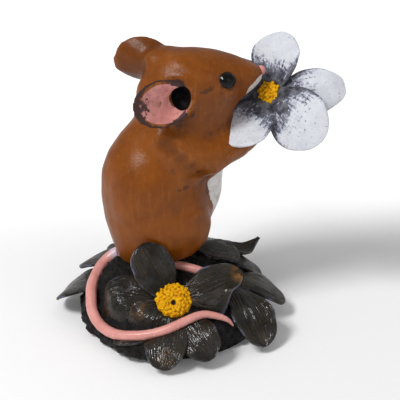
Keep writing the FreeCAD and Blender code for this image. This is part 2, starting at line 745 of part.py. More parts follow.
def make_mouse():
    """Body and everything that grows on it, by name."""
    made = {}
    eyes = [make_eye(-1, "Right"), make_eye(1, "Left")]
    body = make_body(eyes)
    for eye, label in zip(eyes, ("right_eye", "left_eye")):
        node(standing(eye, label + "_bead"), label)
    for word, root, rim, face in EARS:
        made[f"{word.lower()}_ear"] = on_mouse(make_ear(word, root, rim, face, body))
        made[f"{word.lower()}_arm"] = on_mouse(make_arm(word, body))
        made[f"{word.lower()}_foot"] = on_mouse(make_foot(word, body))
    half = size("nose_diameter") / 2
    nose = ball("Nose", Placement(head_point(*NOSE_SHARES), Rotation()), half, half, half)
    made["nose_tip"] = on_mouse(cut("Nose_tip", nose, body))
    for label, piece in made.items():
        node(piece, label)
    made["body"] = node(standing(body, "Standing_body"), "mouse_body")
    return made


def main():
    make_felt()
    make_dowel()
    made = make_mouse()
    made["tail"] = make_tail(made["body"])
    made["front_heart"] = node(heart("Front_heart", front_placement(), size("front_heart")),
                               "front_flower_heart")
    made["mound"] = make_mound(made["front_heart"], made["tail"], made["right_foot"], made["left_foot"])
    make_mound_petals(made)
    make_front_flower(made)
    make_bloom(made)
    make_paw("Right", made)
    make_paw("Left", made)


main()
doc.recompute()

problems = []
for obj in doc.Objects:
    if "Invalid" in obj.State or "Error" in obj.State:
        problems.append(f"{obj.Name} is in state {obj.State}")
for obj in NODES:
    if obj.Shape.isNull() or not obj.Shape.isValid():
        problems.append(f"{obj.Label} has no valid shape")
if problems:
    raise SystemExit("\n".join(problems))

os.makedirs("parts", exist_ok=True)
for obj in NODES:
    obj.Shape.exportStep(f"parts/{obj.Label}.step")
    print(f"{obj.Label}: {len(obj.Shape.Solids)} solid, {obj.Shape.Volume:.1f} mm3")
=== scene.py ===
# %% [markdown]
# # A painted mouse that sniffs a flower
#
# The real object is a small metal casting, painted by hand. Its solids are already built, so this
# lesson gives them their looks. Each visible piece is a finer copy of its solid, or a new piece of
# the same size, and each gets a material that is made of nodes. The solids come in from model.glb
# at their places.

# %% The solids and their places
import math

import bpy
import numpy as np
from mathutils import Matrix, Vector, noise
from mathutils.bvhtree import BVHTree


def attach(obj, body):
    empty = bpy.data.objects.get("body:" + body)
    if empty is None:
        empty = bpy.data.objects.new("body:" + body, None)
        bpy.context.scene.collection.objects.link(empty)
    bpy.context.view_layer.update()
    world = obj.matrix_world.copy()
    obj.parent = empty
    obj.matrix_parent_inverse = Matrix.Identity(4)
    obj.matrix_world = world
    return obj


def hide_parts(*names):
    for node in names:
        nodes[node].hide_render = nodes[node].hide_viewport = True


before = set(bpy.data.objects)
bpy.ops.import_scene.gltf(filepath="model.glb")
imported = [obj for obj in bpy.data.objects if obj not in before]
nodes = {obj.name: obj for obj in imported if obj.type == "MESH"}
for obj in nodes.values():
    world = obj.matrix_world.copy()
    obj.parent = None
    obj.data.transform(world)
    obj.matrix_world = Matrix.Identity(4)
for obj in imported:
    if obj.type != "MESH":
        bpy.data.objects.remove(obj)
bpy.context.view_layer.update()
MM = 0.001


# %% [markdown]
# ## Helpers for the meshes
#
# An operator acts on everything that is selected, and the imported solids all are. So one small
# helper leaves a single object selected and active before each step. Modifiers are added by code
# and applied at once, so that the next step works on plain points.

# %% Selecting and applying


def pick(obj):
    """Leave one object selected and active."""
    if bpy.context.object and bpy.context.object.mode != "OBJECT":
        bpy.ops.object.mode_set(mode="OBJECT")
    bpy.ops.object.select_all(action="DESELECT")
    obj.select_set(True)
    bpy.context.view_layer.objects.active = obj
    return obj


def apply_modifier(obj, kind, **values):
    """Add a modifier, set its values and apply it at once."""
    pick(obj)
    modifier = obj.modifiers.new(kind.title(), kind)
    for key, value in values.items():
        setattr(modifier, key, value)
    bpy.ops.object.modifier_apply(modifier=modifier.name)
    return obj


def join(target, *others):
    """Make one mesh of several."""
    pick(target)
    for other in others:
        other.select_set(True)
    bpy.ops.object.join()
    return target


print("selecting and applying: ready")

# %% [markdown]
# A solid comes in as loose triangles with flat facets. A copy of it is merged, turned into one
# even skin by the Remesh modifier and smoothed. Where two parts of the casting meet in a groove,
# the skin is first blown up and afterwards drawn in again, which leaves a soft fillet there.

# %% Copies of the solids
MERGE_DISTANCE = 0.00001  # metres


def copy_of(name, *node_names):
    """One new mesh from copies of solids, with their loose triangles merged."""
    copies = []
    for node_name in node_names:
        twin = bpy.data.objects.new(name, nodes[node_name].data.copy())
        twin.data.materials.clear()
        bpy.context.scene.collection.objects.link(twin)
        pick(twin)
        bpy.ops.object.mode_set(mode="EDIT")
        bpy.ops.mesh.select_all(action="SELECT")
        bpy.ops.mesh.remove_doubles(threshold=MERGE_DISTANCE)
        bpy.ops.object.mode_set(mode="OBJECT")
        copies.append(twin)
    if len(copies) > 1:
        join(*copies)
    copies[0].name = name
    return copies[0]


def swell(obj, reach):
    """Move the whole skin outwards by a reach in millimetres, or inwards by a negative one."""
    return apply_modifier(obj, "DISPLACE", strength=reach * MM, mid_level=0.0)


def melt(obj, voxel, rounds):
    """Turn a faceted copy into one smooth skin, with a voxel in millimetres."""
    apply_modifier(obj, "REMESH", mode="VOXEL", voxel_size=voxel * MM, adaptivity=0)
    apply_modifier(obj, "SMOOTH", factor=0.5, iterations=rounds)
    bpy.ops.object.shade_smooth()
    return obj


def fill_grooves(obj, reach, voxel):
    """Round off the grooves that are narrower than twice the reach."""
    swell(obj, reach)
    melt(obj, voxel, 2)
    swell(obj, -reach)
    return obj


print("copying, melting and filling: ready")

# %% [markdown]
# The rest of the helpers read and move points, and store numbers on them. A stored number, from 0
# to 1, is a mask that a material reads later to mix its paints. A mask could also be painted by
# hand, but one that is worked out from places fits the skin again whenever the skin changes.

# %% Points and masks


def points_of(obj):
    """Places of a mesh's points, in millimetres."""
    places = np.zeros(len(obj.data.vertices) * 3, np.float32)
    obj.data.vertices.foreach_get("co", places)
    return places.reshape(-1, 3).astype(float) / MM


def put_points(obj, places):
    """Move a mesh's points to places in millimetres."""
    obj.data.vertices.foreach_set("co", (places * MM).astype(np.float32).ravel())
    obj.data.update()


def normals_of(obj):
    """Way that the skin faces at each point."""
    normals = np.zeros(len(obj.data.vertices) * 3, np.float32)
    obj.data.vertices.foreach_get("normal", normals)
    return normals.reshape(-1, 3).astype(float)


def mask(obj, name, values):
    """Store one number from 0 to 1 for each point, for a material to read."""
    attribute = obj.data.attributes.new(name, "FLOAT", "POINT")
    attribute.data.foreach_set("value", np.clip(values, 0, 1).astype(np.float32))


def soft_step(low, high, values):
    """0 below low, 1 above high, and a smooth rise between them."""
    t = np.clip((values - low) / (high - low), 0, 1)
    return t * t * (3 - 2 * t)


def distance_to(places, spot, radii=(1, 1, 1)):
    """Distance from a spot, in parts of three radii."""
    return np.linalg.norm((places - np.array(spot)) / np.array(radii), axis=1)


def near_to(places, spot, near, far, radii=(1, 1, 1)):
    """1 nearer to a spot than near, 0 beyond far, and a smooth fall between them."""
    return 1 - soft_step(near, far, distance_to(places, spot, radii))


print("points and masks: ready")

# %% [markdown]
# Some paints are darker in the creases of the casting. A crease is found by comparing the skin
# with a much smoother one: where the smooth skin lies above the real one, the place is hollow.

# %% Finding the hollows


def hollows(obj, rounds, gain):
    """How hollow the skin is at each point: 0 on a bulge, 1 in a crease."""
    places = points_of(obj)
    edges = np.zeros(len(obj.data.edges) * 2, np.int32)
    obj.data.edges.foreach_get("vertices", edges)
    edges = edges.reshape(-1, 2)
    ends = np.concatenate([edges[:, 0], edges[:, 1]])
    others = np.concatenate([edges[:, 1], edges[:, 0]])
    total = len(places)
    count = np.maximum(np.bincount(ends, minlength=total), 1)
    smooth = places.copy()
    for _ in range(rounds):
        smooth = np.stack([np.bincount(ends, weights=smooth[others, axis], minlength=total) / count
                           for axis in range(3)], axis=1)
    lift = ((smooth - places) * normals_of(obj)).sum(axis=1)
    return np.clip(0.5 + lift * gain, 0, 1)


print("finding hollows: ready")

# %% [markdown]
# A finished piece gets its material and the body that carries it, and the solids that it stands
# for are hidden. The figurine has no moving part, so one body carries everything.

# %% Dressing a piece


def dress(obj, material, slot, *replaced):
    """Give a piece its material, its body and the solids it stands for; the finish is not used."""
    obj.data.materials.clear()
    obj.data.materials.append(material)
    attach(obj, "root")
    if replaced:
        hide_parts(*replaced)
    print(obj.name, "faces:", len(obj.data.polygons))


print("dressing: ready")

# %% [markdown]
# ## Helpers for the paints
#
# Hand-painted metal is never one flat colour. The brush leaves uneven coats, the hollows are
# darker and the high places are rubbed lighter. Each short helper adds one node and returns its
# output, which keeps the node trees readable.

# %% Node helpers


def new_node(tree, kind, links=(), **values):
    """Add a node, set its properties, and plug a number or an output into its sockets."""
    made = tree.nodes.new(kind)
    for key, value in values.items():
        setattr(made, key, value)
    for socket, source in links:
        if isinstance(source, (int, float, tuple)):
            made.inputs[socket].default_value = source
        else:
            tree.links.new(source, made.inputs[socket])
    return made


def math_node(tree, operation, a, b=0.0):
    return new_node(tree, "ShaderNodeMath", [(0, a), (1, b)], operation=operation).outputs[0]


def plus(tree, a, b):
    return math_node(tree, "ADD", a, b)


def minus(tree, a, b):
    return math_node(tree, "SUBTRACT", a, b)


def times(tree, a, b):
    return math_node(tree, "MULTIPLY", a, b)


def blend_node(tree, share, a, b):
    """Mix colour a with colour b by a share."""
    return new_node(tree, "ShaderNodeMix", [(0, share), (6, a), (7, b)],
                    data_type="RGBA").outputs[2]


def step_node(tree, value, low, high):
    """0 at low, 1 at high, and a smooth rise between them."""
    return new_node(tree, "ShaderNodeMapRange",
                    [(0, value), (1, low), (2, high), (3, 0.0), (4, 1.0)],
                    interpolation_type="SMOOTHSTEP").outputs[0]


def noise_node(tree, vector, scale, detail=4.0, roughness=0.55):
    return new_node(tree, "ShaderNodeTexNoise",
                    [("Vector", vector), ("Scale", scale), ("Detail", detail),
                     ("Roughness", roughness)]).outputs["Fac"]


def stretch(tree, vector, scale):
    """The same coordinates, scaled along each axis, so that a pattern on them is drawn out."""
    return new_node(tree, "ShaderNodeMapping", [("Vector", vector), ("Scale", scale)]).outputs[0]


def split(tree, vector):
    """X, Y and Z of a vector, each by itself."""
    return new_node(tree, "ShaderNodeSeparateXYZ", [(0, vector)]).outputs


def read_mask(tree, name):
    return new_node(tree, "ShaderNodeAttribute", attribute_name=name).outputs["Fac"]


print("node helpers: ready")

# %% [markdown]
# A painter works in layers, and so do these trees: a tone goes in, a paint is laid over it where a
# mask says so, and a new tone comes out. The relief of the paint is a height that a Bump node turns
# into normals. Colours are written as they look on a screen, and turned into what the shader wants.

# %% Layers, relief and colours
GRAIN_SCALE = 2600.0
DENT_SCALE = 420.0
PAINT_RELIEF = (0.5, 0.0003)  # strength, and depth in metres


def lay(tree, tone, colour, cover, strength=None):
    """Lay a paint over a tone where its cover is 1, at full strength or less."""
    if strength is not None:
        cover = times(tree, cover, strength)
    return blend_node(tree, cover, tone, colour)


def worked_height(tree, vector, grain, dents):
    """Height of brushed paint: fine grain and shallow dents."""
    fine = noise_node(tree, vector, GRAIN_SCALE, 3.0)
    broad = noise_node(tree, vector, DENT_SCALE, 3.0)
    return plus(tree, times(tree, fine, grain), times(tree, broad, dents))


def bump_node(tree, height, strength, depth):
    """Normals of a relief, from its height."""
    return new_node(tree, "ShaderNodeBump", [("Strength", strength), ("Distance", depth),
                                             ("Height", height)]).outputs["Normal"]


def srgb(red, green, blue):
    """Colour from its 0 to 255 values, as the shader wants it."""
    return tuple((v / 255 / 12.92 if v / 255 <= 0.04045 else ((v / 255 + 0.055) / 1.055) ** 2.4)
                 for v in (red, green, blue)) + (1.0,)


def palette(**colours):
    """The colours of one paint, by their names."""
    return {name: srgb(*values) for name, values in colours.items()}


print("layers, relief and colours: ready")

# %% [markdown]
# Two effects are needed in nearly every paint, so they are node groups: built once, and placed in
# each material with its own values. The first gives a mask of soft patches. The second gives the
# surface of brushed paint, with fine grain and shallow dents.

# %% Two node groups


def socket_group(name, inputs, outputs):
    """Empty node group with named inputs and outputs."""
    group = bpy.data.node_groups.new(name, "ShaderNodeTree")
    for label, kind, value in inputs:
        socket = group.interface.new_socket(name=label, in_out="INPUT", socket_type=kind)
        socket.default_value = value
    for label, kind in outputs:
        group.interface.new_socket(name=label, in_out="OUTPUT", socket_type=kind)
    return group, group.nodes.new("NodeGroupInput"), group.nodes.new("NodeGroupOutput")


def patches_group():
    """Soft patches: a mask from noise, with its scale, its level and its softness."""
    group, given, out = socket_group(
        "Patches",
        [("Vector", "NodeSocketVector", (0, 0, 0)), ("Scale", "NodeSocketFloat", 100.0),
         ("Level", "NodeSocketFloat", 0.5), ("Softness", "NodeSocketFloat", 0.1)],
        [("Mask", "NodeSocketFloat")])
    cloud = noise_node(group, given.outputs["Vector"], given.outputs["Scale"], 5.0, 0.6)
    low = minus(group, given.outputs["Level"], given.outputs["Softness"])
    high = plus(group, given.outputs["Level"], given.outputs["Softness"])
    group.links.new(step_node(group, cloud, low, high), out.inputs["Mask"])
    return group


def brushed_group():
    """Surface of brushed paint: normals with fine grain and shallow dents."""
    group, given, out = socket_group(
        "Brushed surface",
        [("Vector", "NodeSocketVector", (0, 0, 0)), ("Grain", "NodeSocketFloat", 0.3),
         ("Dents", "NodeSocketFloat", 0.3)],
        [("Normal", "NodeSocketVector")])
    height = worked_height(group, given.outputs["Vector"], given.outputs["Grain"],
                           given.outputs["Dents"])
    group.links.new(bump_node(group, height, *PAINT_RELIEF), out.inputs["Normal"])
    return group


PATCHES = patches_group()
BRUSHED = brushed_group()
print("node groups:", [group.name for group in bpy.data.node_groups])

# %% [markdown]
# Every paint starts in the same way: a shader with its gloss, and object coordinates, so that the
# patches stay on the piece when it moves. Most paints also end in the same way, with their tone and
# the marks of the brush.

# %% Start and end of a paint


def paint(name, roughness, coat=0.0, coat_roughness=0.1, metallic=0.0, specular=0.5):
    """New material with its gloss: the material, its tree, its shader and its coordinates."""
    material = bpy.data.materials.new(name)
    material.use_nodes = True
    tree = material.node_tree
    shader = tree.nodes["Principled BSDF"]
    shader.inputs["Roughness"].default_value = roughness
    shader.inputs["Metallic"].default_value = metallic
    shader.inputs["Coat Weight"].default_value = coat
    shader.inputs["Coat Roughness"].default_value = coat_roughness
    shader.inputs["Specular IOR Level"].default_value = specular
    place = tree.nodes.new("ShaderNodeTexCoord").outputs["Object"]
    return material, tree, shader, place


def patches(tree, place, scale, level, softness):
    """Mask of soft patches. A higher level leaves fewer of them."""
    made = new_node(tree, "ShaderNodeGroup", node_tree=PATCHES)
    tree.links.new(place, made.inputs["Vector"])
    for label, value in (("Scale", scale), ("Level", level), ("Softness", softness)):
        made.inputs[label].default_value = value
    return made.outputs[0]


def torn(tree, place, scale, softness, amount):
    """Patches round zero. Added to a mask, they tear its border."""
    return times(tree, minus(tree, patches(tree, place, scale, 0.5, softness), 0.5), amount)


def brush_on(tree, shader, place, tone, grain, dents):
    """Give a shader its tone and the surface of brushed paint."""
    tree.links.new(tone, shader.inputs["Base Color"])
    made = new_node(tree, "ShaderNodeGroup", node_tree=BRUSHED)
    tree.links.new(place, made.inputs["Vector"])
    made.inputs["Grain"].default_value = grain
    made.inputs["Dents"].default_value = dents
    tree.links.new(made.outputs[0], shader.inputs["Normal"])


print("paints can start")

# %% [markdown]
# ## The mouse
#
# The mouse sits on the mound and is turned a little to its left. So places on it are counted from
# its seat: x along the way it looks, y to its left and z up. That keeps both sides of it alike.

# %% Places on the mouse
MOUSE_SEAT = Vector((-5.0, 4.0, 15.0))
MOUSE_TURN = Matrix.Rotation(math.radians(11.0), 3, "Z")


def turned(x, y, z):
    """Direction in the mouse's frame, turned with it."""
    return MOUSE_TURN @ Vector((x, y, z))


def mouse_place(x, y, z):
    """Place counted from the mouse's seat, in millimetres."""
    return MOUSE_SEAT + turned(x, y, z)


def mouse_frame(places):
    """The same places counted from the mouse's seat."""
    return (places - np.array(MOUSE_SEAT)) @ np.array(MOUSE_TURN)


print("nose:", [round(v, 1) for v in mouse_place(28.2, 0, 48.3)])

# %% [markdown]
# The casting is smooth and round, with soft creases where the arm meets the chest and where the
# thigh meets the belly. It could be drawn with subdivision surfaces, but its solids already have
# the right forms. So the body and the arms are joined, haunches and crown get some wax, the grooves
# are filled and the whole skin is smoothed.

# %% The body's skin
HAUNCH, HAUNCH_RADII = (0.6, 4.0, 20.0), (12.4, 8.9, 14.6)
CROWN, CROWN_RADII = (4.2, 3.4, 52.6), (5.6, 4.0, 2.8)


def wax(place, radii):
    """Oval lump of wax, to be melted into the skin it touches."""
    bpy.ops.object.select_all(action="DESELECT")
    bpy.ops.mesh.primitive_uv_sphere_add(segments=32, ring_count=20, radius=MM,
                                         location=place * MM)
    bpy.ops.transform.resize(value=radii)
    bpy.ops.transform.rotate(value=math.radians(-11.0), orient_axis="Z",
                             center_override=place * MM)
    bpy.ops.object.transform_apply(location=True, rotation=True, scale=True)
    return bpy.context.object


mouse = copy_of("mouse", "mouse_body", "right_arm", "left_arm")
x, y, z = HAUNCH
lumps = [wax(mouse_place(x, y * side, z), HAUNCH_RADII) for side in (-1, 1)]
lumps.append(wax(mouse_place(*CROWN), CROWN_RADII))
join(mouse, *lumps)
fill_grooves(mouse, 2.0, 0.6)
melt(mouse, 0.6, 12)
print("mouse points:", len(mouse.data.vertices))

# %% [markdown]
# A thumb gives wax its last forms: it presses a hollow in front of each eye, lifts a cheek behind
# it and draws the crease that runs from the shoulder down to the belly, between arm and thigh.
# Sculpt brushes need a window, so a helper moves the points round a place instead and fades out
# towards its edge.

# %% A thumb and a finger


def dab(obj, place, reach, push):
    """Press or pull the skin round a place, with a soft edge, as a thumb does in wax."""
    places = points_of(obj)
    put_points(obj, places + near_to(places, place, 0, reach)[:, None] * np.array(push))


def rub(obj, spots, reach, rounds):
    """Even out the skin round some places, as a finger rubs wax."""
    places = points_of(obj)
    share = np.max([near_to(places, spot, 0, reach) for spot in spots], axis=0)
    group = obj.vertex_groups.new(name="rubbed")
    for index in np.nonzero(share > 0.01)[0]:
        group.add([int(index)], float(share[index]), "REPLACE")
    apply_modifier(obj, "SMOOTH", factor=0.5, iterations=rounds, vertex_group="rubbed")
    obj.vertex_groups.clear()


print("thumb and finger: ready")

# %% [markdown]
# The forms are given as a list, each with its place, its reach and its push. Those of the first
# list are pressed on both sides, with y mirrored. The shoulders are rubbed smooth before.

# %% Cheeks and creases
CREASE = [(1.0, 11.0, 35.6), (3.1, 11.8, 34.2), (5.4, 12.6, 32.4), (7.8, 12.6, 30.2),
          (10.2, 11.8, 27.6), (12.2, 9.8, 25.0), (13.4, 7.6, 22.6), (14.2, 6.2, 19.4)]
BOTH_SIDES = [
    ((22.0, 5.4, 48.6), 4.5, (0.0, -0.7, 0.0)),  # hollow in front of the eye
    ((15.5, 8.6, 45.5), 6.0, (0.0, 0.5, -0.2)),  # cheek
    *((place, 2.8, (0.0, -0.62, 0.0)) for place in CREASE),
    ((9.5, 10.5, 18.0), 6.0, (0.3, 0.9, 0.2)),  # thigh
    ((18.5, 8.5, 28.5), 5.0, (0.0, 0.0, 0.9)),  # forearm
]
IN_THE_MIDDLE = [
    ((16.5, 0.0, 26.0), 7.0, (0.8, 0.0, 0.0)),  # chest
    ((15.5, 0.0, 17.0), 9.0, (1.2, 0.0, 0.0)),  # belly
    ((-2.5, 0.0, 45.5), 8.0, (-1.4, 0.0, 0.0)),  # nape
]

rub(mouse, [mouse_place(0.6, 10.6 * side, z) for side in (-1, 1) for z in (36.5, 39.5)], 6.0, 80)
for side in (-1, 1):
    for (x, y, z), reach, (push_x, push_y, push_z) in BOTH_SIDES:
        dab(mouse, mouse_place(x, y * side, z), reach, turned(push_x, push_y * side, push_z))
for place, reach, push in IN_THE_MIDDLE:
    dab(mouse, mouse_place(*place), reach, turned(*push))
print("face and creases are shaped:", len(BOTH_SIDES) * 2 + len(IN_THE_MIDDLE), "dabs")

# %% [markdown]
# ## Ears
#
# The ears are thin cups that grow out of the head without a seam. Their copies are joined to the
# mouse and the joint is filled, so that back and head are one smooth curve. The right ear is drawn
# out backwards a little first. It opens forwards, and its canal is a deep hole at the cheek.

# %% Ears on the head
EAR_PLACES = {  # middle, the way it faces, and the way its axis runs
    "right": ((0.75, -10.75, 46.8), (0.256, -0.931, 0.260), (-0.826, -0.520, 0.217)),
    "left": ((-1.0, 9.0, 50.8), (0.200, 0.974, 0.108), (-0.718, 0.660, 0.219)),
}
CANAL = (6.0, -8.8, 46.9)
LEFT_CANAL = (2.4, 6.4, 49.8)
RIGHT_EAR_FRONT = (9.4, -8.4, 46.8)
RIGHT_EAR_LENGTH = (0.964, 0.265, 0.0)  # the way that the right ear is drawn out
EAR_STRETCH = 0.19
EAR_SHIFT = 1.2


def surface_of(obj):
    """Search tree of a mesh, which finds the nearest place on it."""
    return BVHTree.FromPolygons([vertex.co.copy() for vertex in obj.data.vertices],
                                [tuple(face.vertices) for face in obj.data.polygons])


def ear_cup(word):
    """Smooth copy of an ear, a little thicker than its solid."""
    cup = copy_of(f"{word}_cup", f"{word}_ear")
    swell(cup, 0.12)
    melt(cup, 0.25, 3)
    return cup


cups = {word: ear_cup(word) for word in EAR_PLACES}
skin = points_of(cups["right"])
reach = (mouse_frame(skin) - np.array(RIGHT_EAR_FRONT)) @ np.array(RIGHT_EAR_LENGTH)
drawn_out = (reach * EAR_STRETCH - EAR_SHIFT)[:, None] * np.array(turned(*RIGHT_EAR_LENGTH))
put_points(cups["right"], skin + drawn_out)
dab(cups["left"], mouse_place(-7.2, 8.0, 48.6), 4.5, turned(-1.0, 0.0, -0.6))
surfaces = {"body": surface_of(mouse), **{word: surface_of(cup) for word, cup in cups.items()}}
join(mouse, *cups.values())
fill_grooves(mouse, 1.3, 0.36)
melt(mouse, 0.34, 3)
dab(mouse, mouse_place(*CANAL), 3.4, turned(-0.6, 2.2, -0.4))
print("mouse points with its ears:", len(mouse.data.vertices))

# %% [markdown]
# The brown coat was brushed on over dark metal. It is darker in the creases, the belly has a
# white strip and the lips are white. Each of these is a mask over the skin's points. The strip has
# a half width at each height, and the lips are a line with a distance round it.

# %% Belly and lips
BELLY_HEIGHTS = [5.0, 9.0, 13.0, 18.0, 24.0, 31.0]
BELLY_HALF_WIDTHS = [0.0, 2.8, 5.2, 6.9, 7.4, 7.2]
LOW_LIP, HIGH_LIP = np.array([24.8, 44.9]), np.array([27.0, 46.5])  # x and z

places = mouse_frame(points_of(mouse))
mask(mouse, "hollow", hollows(mouse, 14, 2.0))
half_strip = np.interp(places[:, 2], BELLY_HEIGHTS, BELLY_HALF_WIDTHS)
strip = 1 - soft_step(-0.8, 0.8, np.abs(places[:, 1]) - half_strip)
strip = soft_step(8.0, 9.0, places[:, 0]) * strip
mask(mouse, "belly", strip * (1 - soft_step(29.0, 31.0, places[:, 2])))

profile = places[:, [0, 2]]
lip_run = HIGH_LIP - LOW_LIP
along = np.clip(((profile - LOW_LIP) @ lip_run) / (lip_run ** 2).sum(), 0, 1)
to_lip = np.linalg.norm(profile - LOW_LIP - along[:, None] * lip_run, axis=1)
mask(mouse, "lips", (1 - soft_step(1.6, 2.3, to_lip)) * soft_step(22.2, 23.4, places[:, 0]))
print("white points on the belly:", int((strip > 0.5).sum()))

# %% [markdown]
# The painter also left dark smudges round the eyes and on the cheek before the ear. Three spots on
# the side, along the crease and on the thigh, are painted shade. They are oval spots, given as a
# list. The crease gets a darker line of painted shade, and the coat is pale where the tail leaves
# it.

# %% Smudges and painted shade in the crease
SMUDGES = [  # place, radii and strength
    ((17.6, -6.9, 49.4), (3.3, 3.0, 2.9), 0.8),
    ((17.6, 6.9, 49.4), (3.3, 3.0, 2.9), 0.8),
    ((11.5, -8.8, 48.0), (1.5, 2.0, 0.7), 0.9),
    ((12.8, -8.8, 48.5), (1.5, 2.0, 0.6), 1.0),
    ((13.6, -8.8, 49.2), (1.2, 2.0, 0.6), 0.8),
    # painted shade: three spots along the crease and on the thigh
    ((6.0, -12.4, 24.0), (3.0, 3.0, 0.9), 0.7),
    ((9.0, -12.0, 28.6), (3.4, 3.0, 0.9), 0.5),
    ((12.8, -8.2, 21.6), (1.2, 3.0, 2.8), 0.85),
]
CREASE_RADII = (1.7, 3.0, 1.3)
TAIL_ROOT = (-14.6, 2.6, 16.0)

smudge = np.zeros(len(places))
for spot, radii, strength in SMUDGES:
    smudge = np.maximum(smudge, strength * near_to(places, spot, 0.5, 1.1, radii))
mask(mouse, "smudge", smudge)
# painted shade: a darker line along the crease between arm and thigh
crease = np.zeros(len(places))
for x, y, z in CREASE:
    for side in (-1, 1):
        crease = np.maximum(crease, near_to(places, (x, y * side, z), 0.0, 1.8, CREASE_RADII))
mask(mouse, "crease", crease)
mask(mouse, "lilac", near_to(points_of(mouse), TAIL_ROOT, 1.6, 3.2))
print("smudged points:", int((smudge > 0.5).sum()))

# %% [markdown]
# The ears are rose inside, with a dark chipped edge and a canal that is painted nearly black as
# painted shade. After remeshing, the skin no longer knows which points came from an ear. So each
# point asks two search trees whether the cup or the body was nearer, and its normal tells inside
# from outside.

# %% Masks in the ears


def from_cup(word):
    """True for each point of the skin that lies nearer to this ear's cup than to the body."""
    came = np.zeros(len(places), bool)
    for index in np.nonzero(distance_to(places, EAR_PLACES[word][0]) < 11.0)[0]:
        spot = mouse.data.vertices[int(index)].co
        to_cup = surfaces[word].find_nearest(spot)[3]
        came[index] = to_cup < surfaces["body"].find_nearest(spot)[3]
    return came


of_ear = {word: from_cup(word) for word in EAR_PLACES}
inside = np.zeros(len(places))
edge = np.zeros(len(places))
skin_normals = normals_of(mouse) @ np.array(MOUSE_TURN)
for word, (middle, facing, run) in EAR_PLACES.items():
    facing, run = np.array(facing), np.array(run)
    offset = places - np.array(middle)
    depth = offset @ facing
    radial = offset - run * (depth / (run @ facing))[:, None]
    radius = np.maximum(np.linalg.norm(radial, axis=1), 0.1)
    inward = -(skin_normals * radial).sum(axis=1) / radius
    floor_of_cup = soft_step(0.4, 0.8, (skin_normals @ facing) * (radius < 4.5))
    rose = np.maximum(soft_step(0.05, 0.4, inward), floor_of_cup)
    inside = np.maximum(inside, rose * of_ear[word])
    band = soft_step(-1.2, -0.5, depth) * soft_step(4.7, 6.0, radius) * of_ear[word]
    edge = np.maximum(edge, band if word == "right" else band * soft_step(-0.1, 0.4, inward))
front_cheek = soft_step(6.7, 7.5, places[:, 0]) * (places[:, 1] < 0)
mask(mouse, "inside", inside * (1 - front_cheek))
mask(mouse, "edge", edge * (1 - front_cheek))
# painted shade: the ear canals are painted nearly black
mask(mouse, "canal", np.maximum(near_to(places, CANAL, 0.8, 1.05, (2.7, 4.0, 3.3)),
                                near_to(places, LEFT_CANAL, 0.8, 1.05, (2.7, 2.4, 2.7))))
# painted shade: the far, left ear is painted darker
mask(mouse, "dim", near_to(places, EAR_PLACES["left"][0], 5.0, 11.0) * (places[:, 1] > 1.5))
print("points inside the ears:", int((inside > 0.5).sum()))

# %% [markdown]
# The ears are separate parts of the model, so they are cut off the finished skin along the line
# where the cup ends. Both sides keep the same points there, and no seam shows.

# %% Ears as pieces of their own


def part_off(word):
    """Separate the faces that came from an ear's cup."""
    pick(mouse)
    came = np.zeros(len(mouse.data.vertices), np.float32)
    mouse.data.attributes[f"{word}_cup"].data.foreach_get("value", came)
    chosen = 0
    for face in mouse.data.polygons:
        face.select = bool(came[list(face.vertices)].mean() > 0.6)
        chosen += face.select
    bpy.ops.object.mode_set(mode="EDIT")
    bpy.ops.mesh.separate(type="SELECTED")
    bpy.ops.object.mode_set(mode="OBJECT")
    ear = next(obj for obj in bpy.context.selected_objects if obj is not mouse)
    ear.name = f"{word}_ear_skin"
    print(ear.name, "takes", chosen, "faces")
    return ear


bpy.context.tool_settings.mesh_select_mode = (False, False, True)
for word in EAR_PLACES:
    mask(mouse, f"{word}_cup", of_ear[word])
ears = {word: part_off(word) for word in EAR_PLACES}

# %% [markdown]
# ## Paint on the coat
#
# The coat was painted in layers. An image could hold them all, but it would need an unwrapped skin
# and would be sharp at one size only. So the layers are nodes, in the order in which a painter
# would lay them. The first are the browns: uneven, with dry strokes, rubbed lighter on the bulges
# and darker in the hollows, with painted shade in the crease and on the far ear.

# %% Browns of the coat
COAT_COLOURS = palette(
    brown=(116, 58, 0), light_brown=(134, 70, 4), dry_stroke=(160, 94, 30), rubbed=(166, 102, 44),
    hollow=(72, 40, 18), crease=(62, 34, 12), far_ear=(88, 42, 0), speck=(44, 30, 22),
    smudge=(50, 32, 22), chalk=(228, 226, 224), thin_chalk=(186, 176, 170),
    rose=(222, 152, 145), dark_rose=(196, 124, 118), rose_speck=(120, 70, 66),
    ear_edge=(54, 38, 40), canal=(10, 8, 9))


def brown_layers(tree, place, colours):
    """Uneven brown, rubbed on the bulges and dark in the hollows."""
    hollow = read_mask(tree, "hollow")
    tone = blend_node(tree, patches(tree, place, 120.0, 0.5, 0.16), colours["brown"],
                      colours["light_brown"])
    strokes = noise_node(tree, stretch(tree, place, (1.0, 1.0, 0.16)), 1000.0, 3.0)
    tone = lay(tree, tone, colours["dry_stroke"], step_node(tree, strokes, 0.48, 0.78), 0.3)
    bulges = step_node(tree, hollow, 0.42, 0.2)
    rubbed = times(tree, bulges, patches(tree, place, 700.0, 0.52, 0.12))
    tone = lay(tree, tone, colours["rubbed"], rubbed, 0.5)
    tone = lay(tree, tone, colours["hollow"], step_node(tree, hollow, 0.56, 0.9), 0.75)
    uneven = plus(tree, times(tree, patches(tree, place, 300.0, 0.5, 0.35), 0.22), 0.3)
    # painted shade: a darker line in the crease between arm and thigh
    tone = lay(tree, tone, colours["crease"], times(tree, read_mask(tree, "crease"), uneven))
    # painted shade on the far, left ear
    tone = lay(tree, tone, colours["far_ear"], read_mask(tree, "dim"), 0.6)
    specks = patches(tree, place, 900.0, 0.55, 0.07)
    specks = times(tree, specks, step_node(tree, hollow, 0.54, 0.72))
    return lay(tree, tone, colours["speck"], specks, 0.9)


print("colours of the coat:", len(COAT_COLOURS))
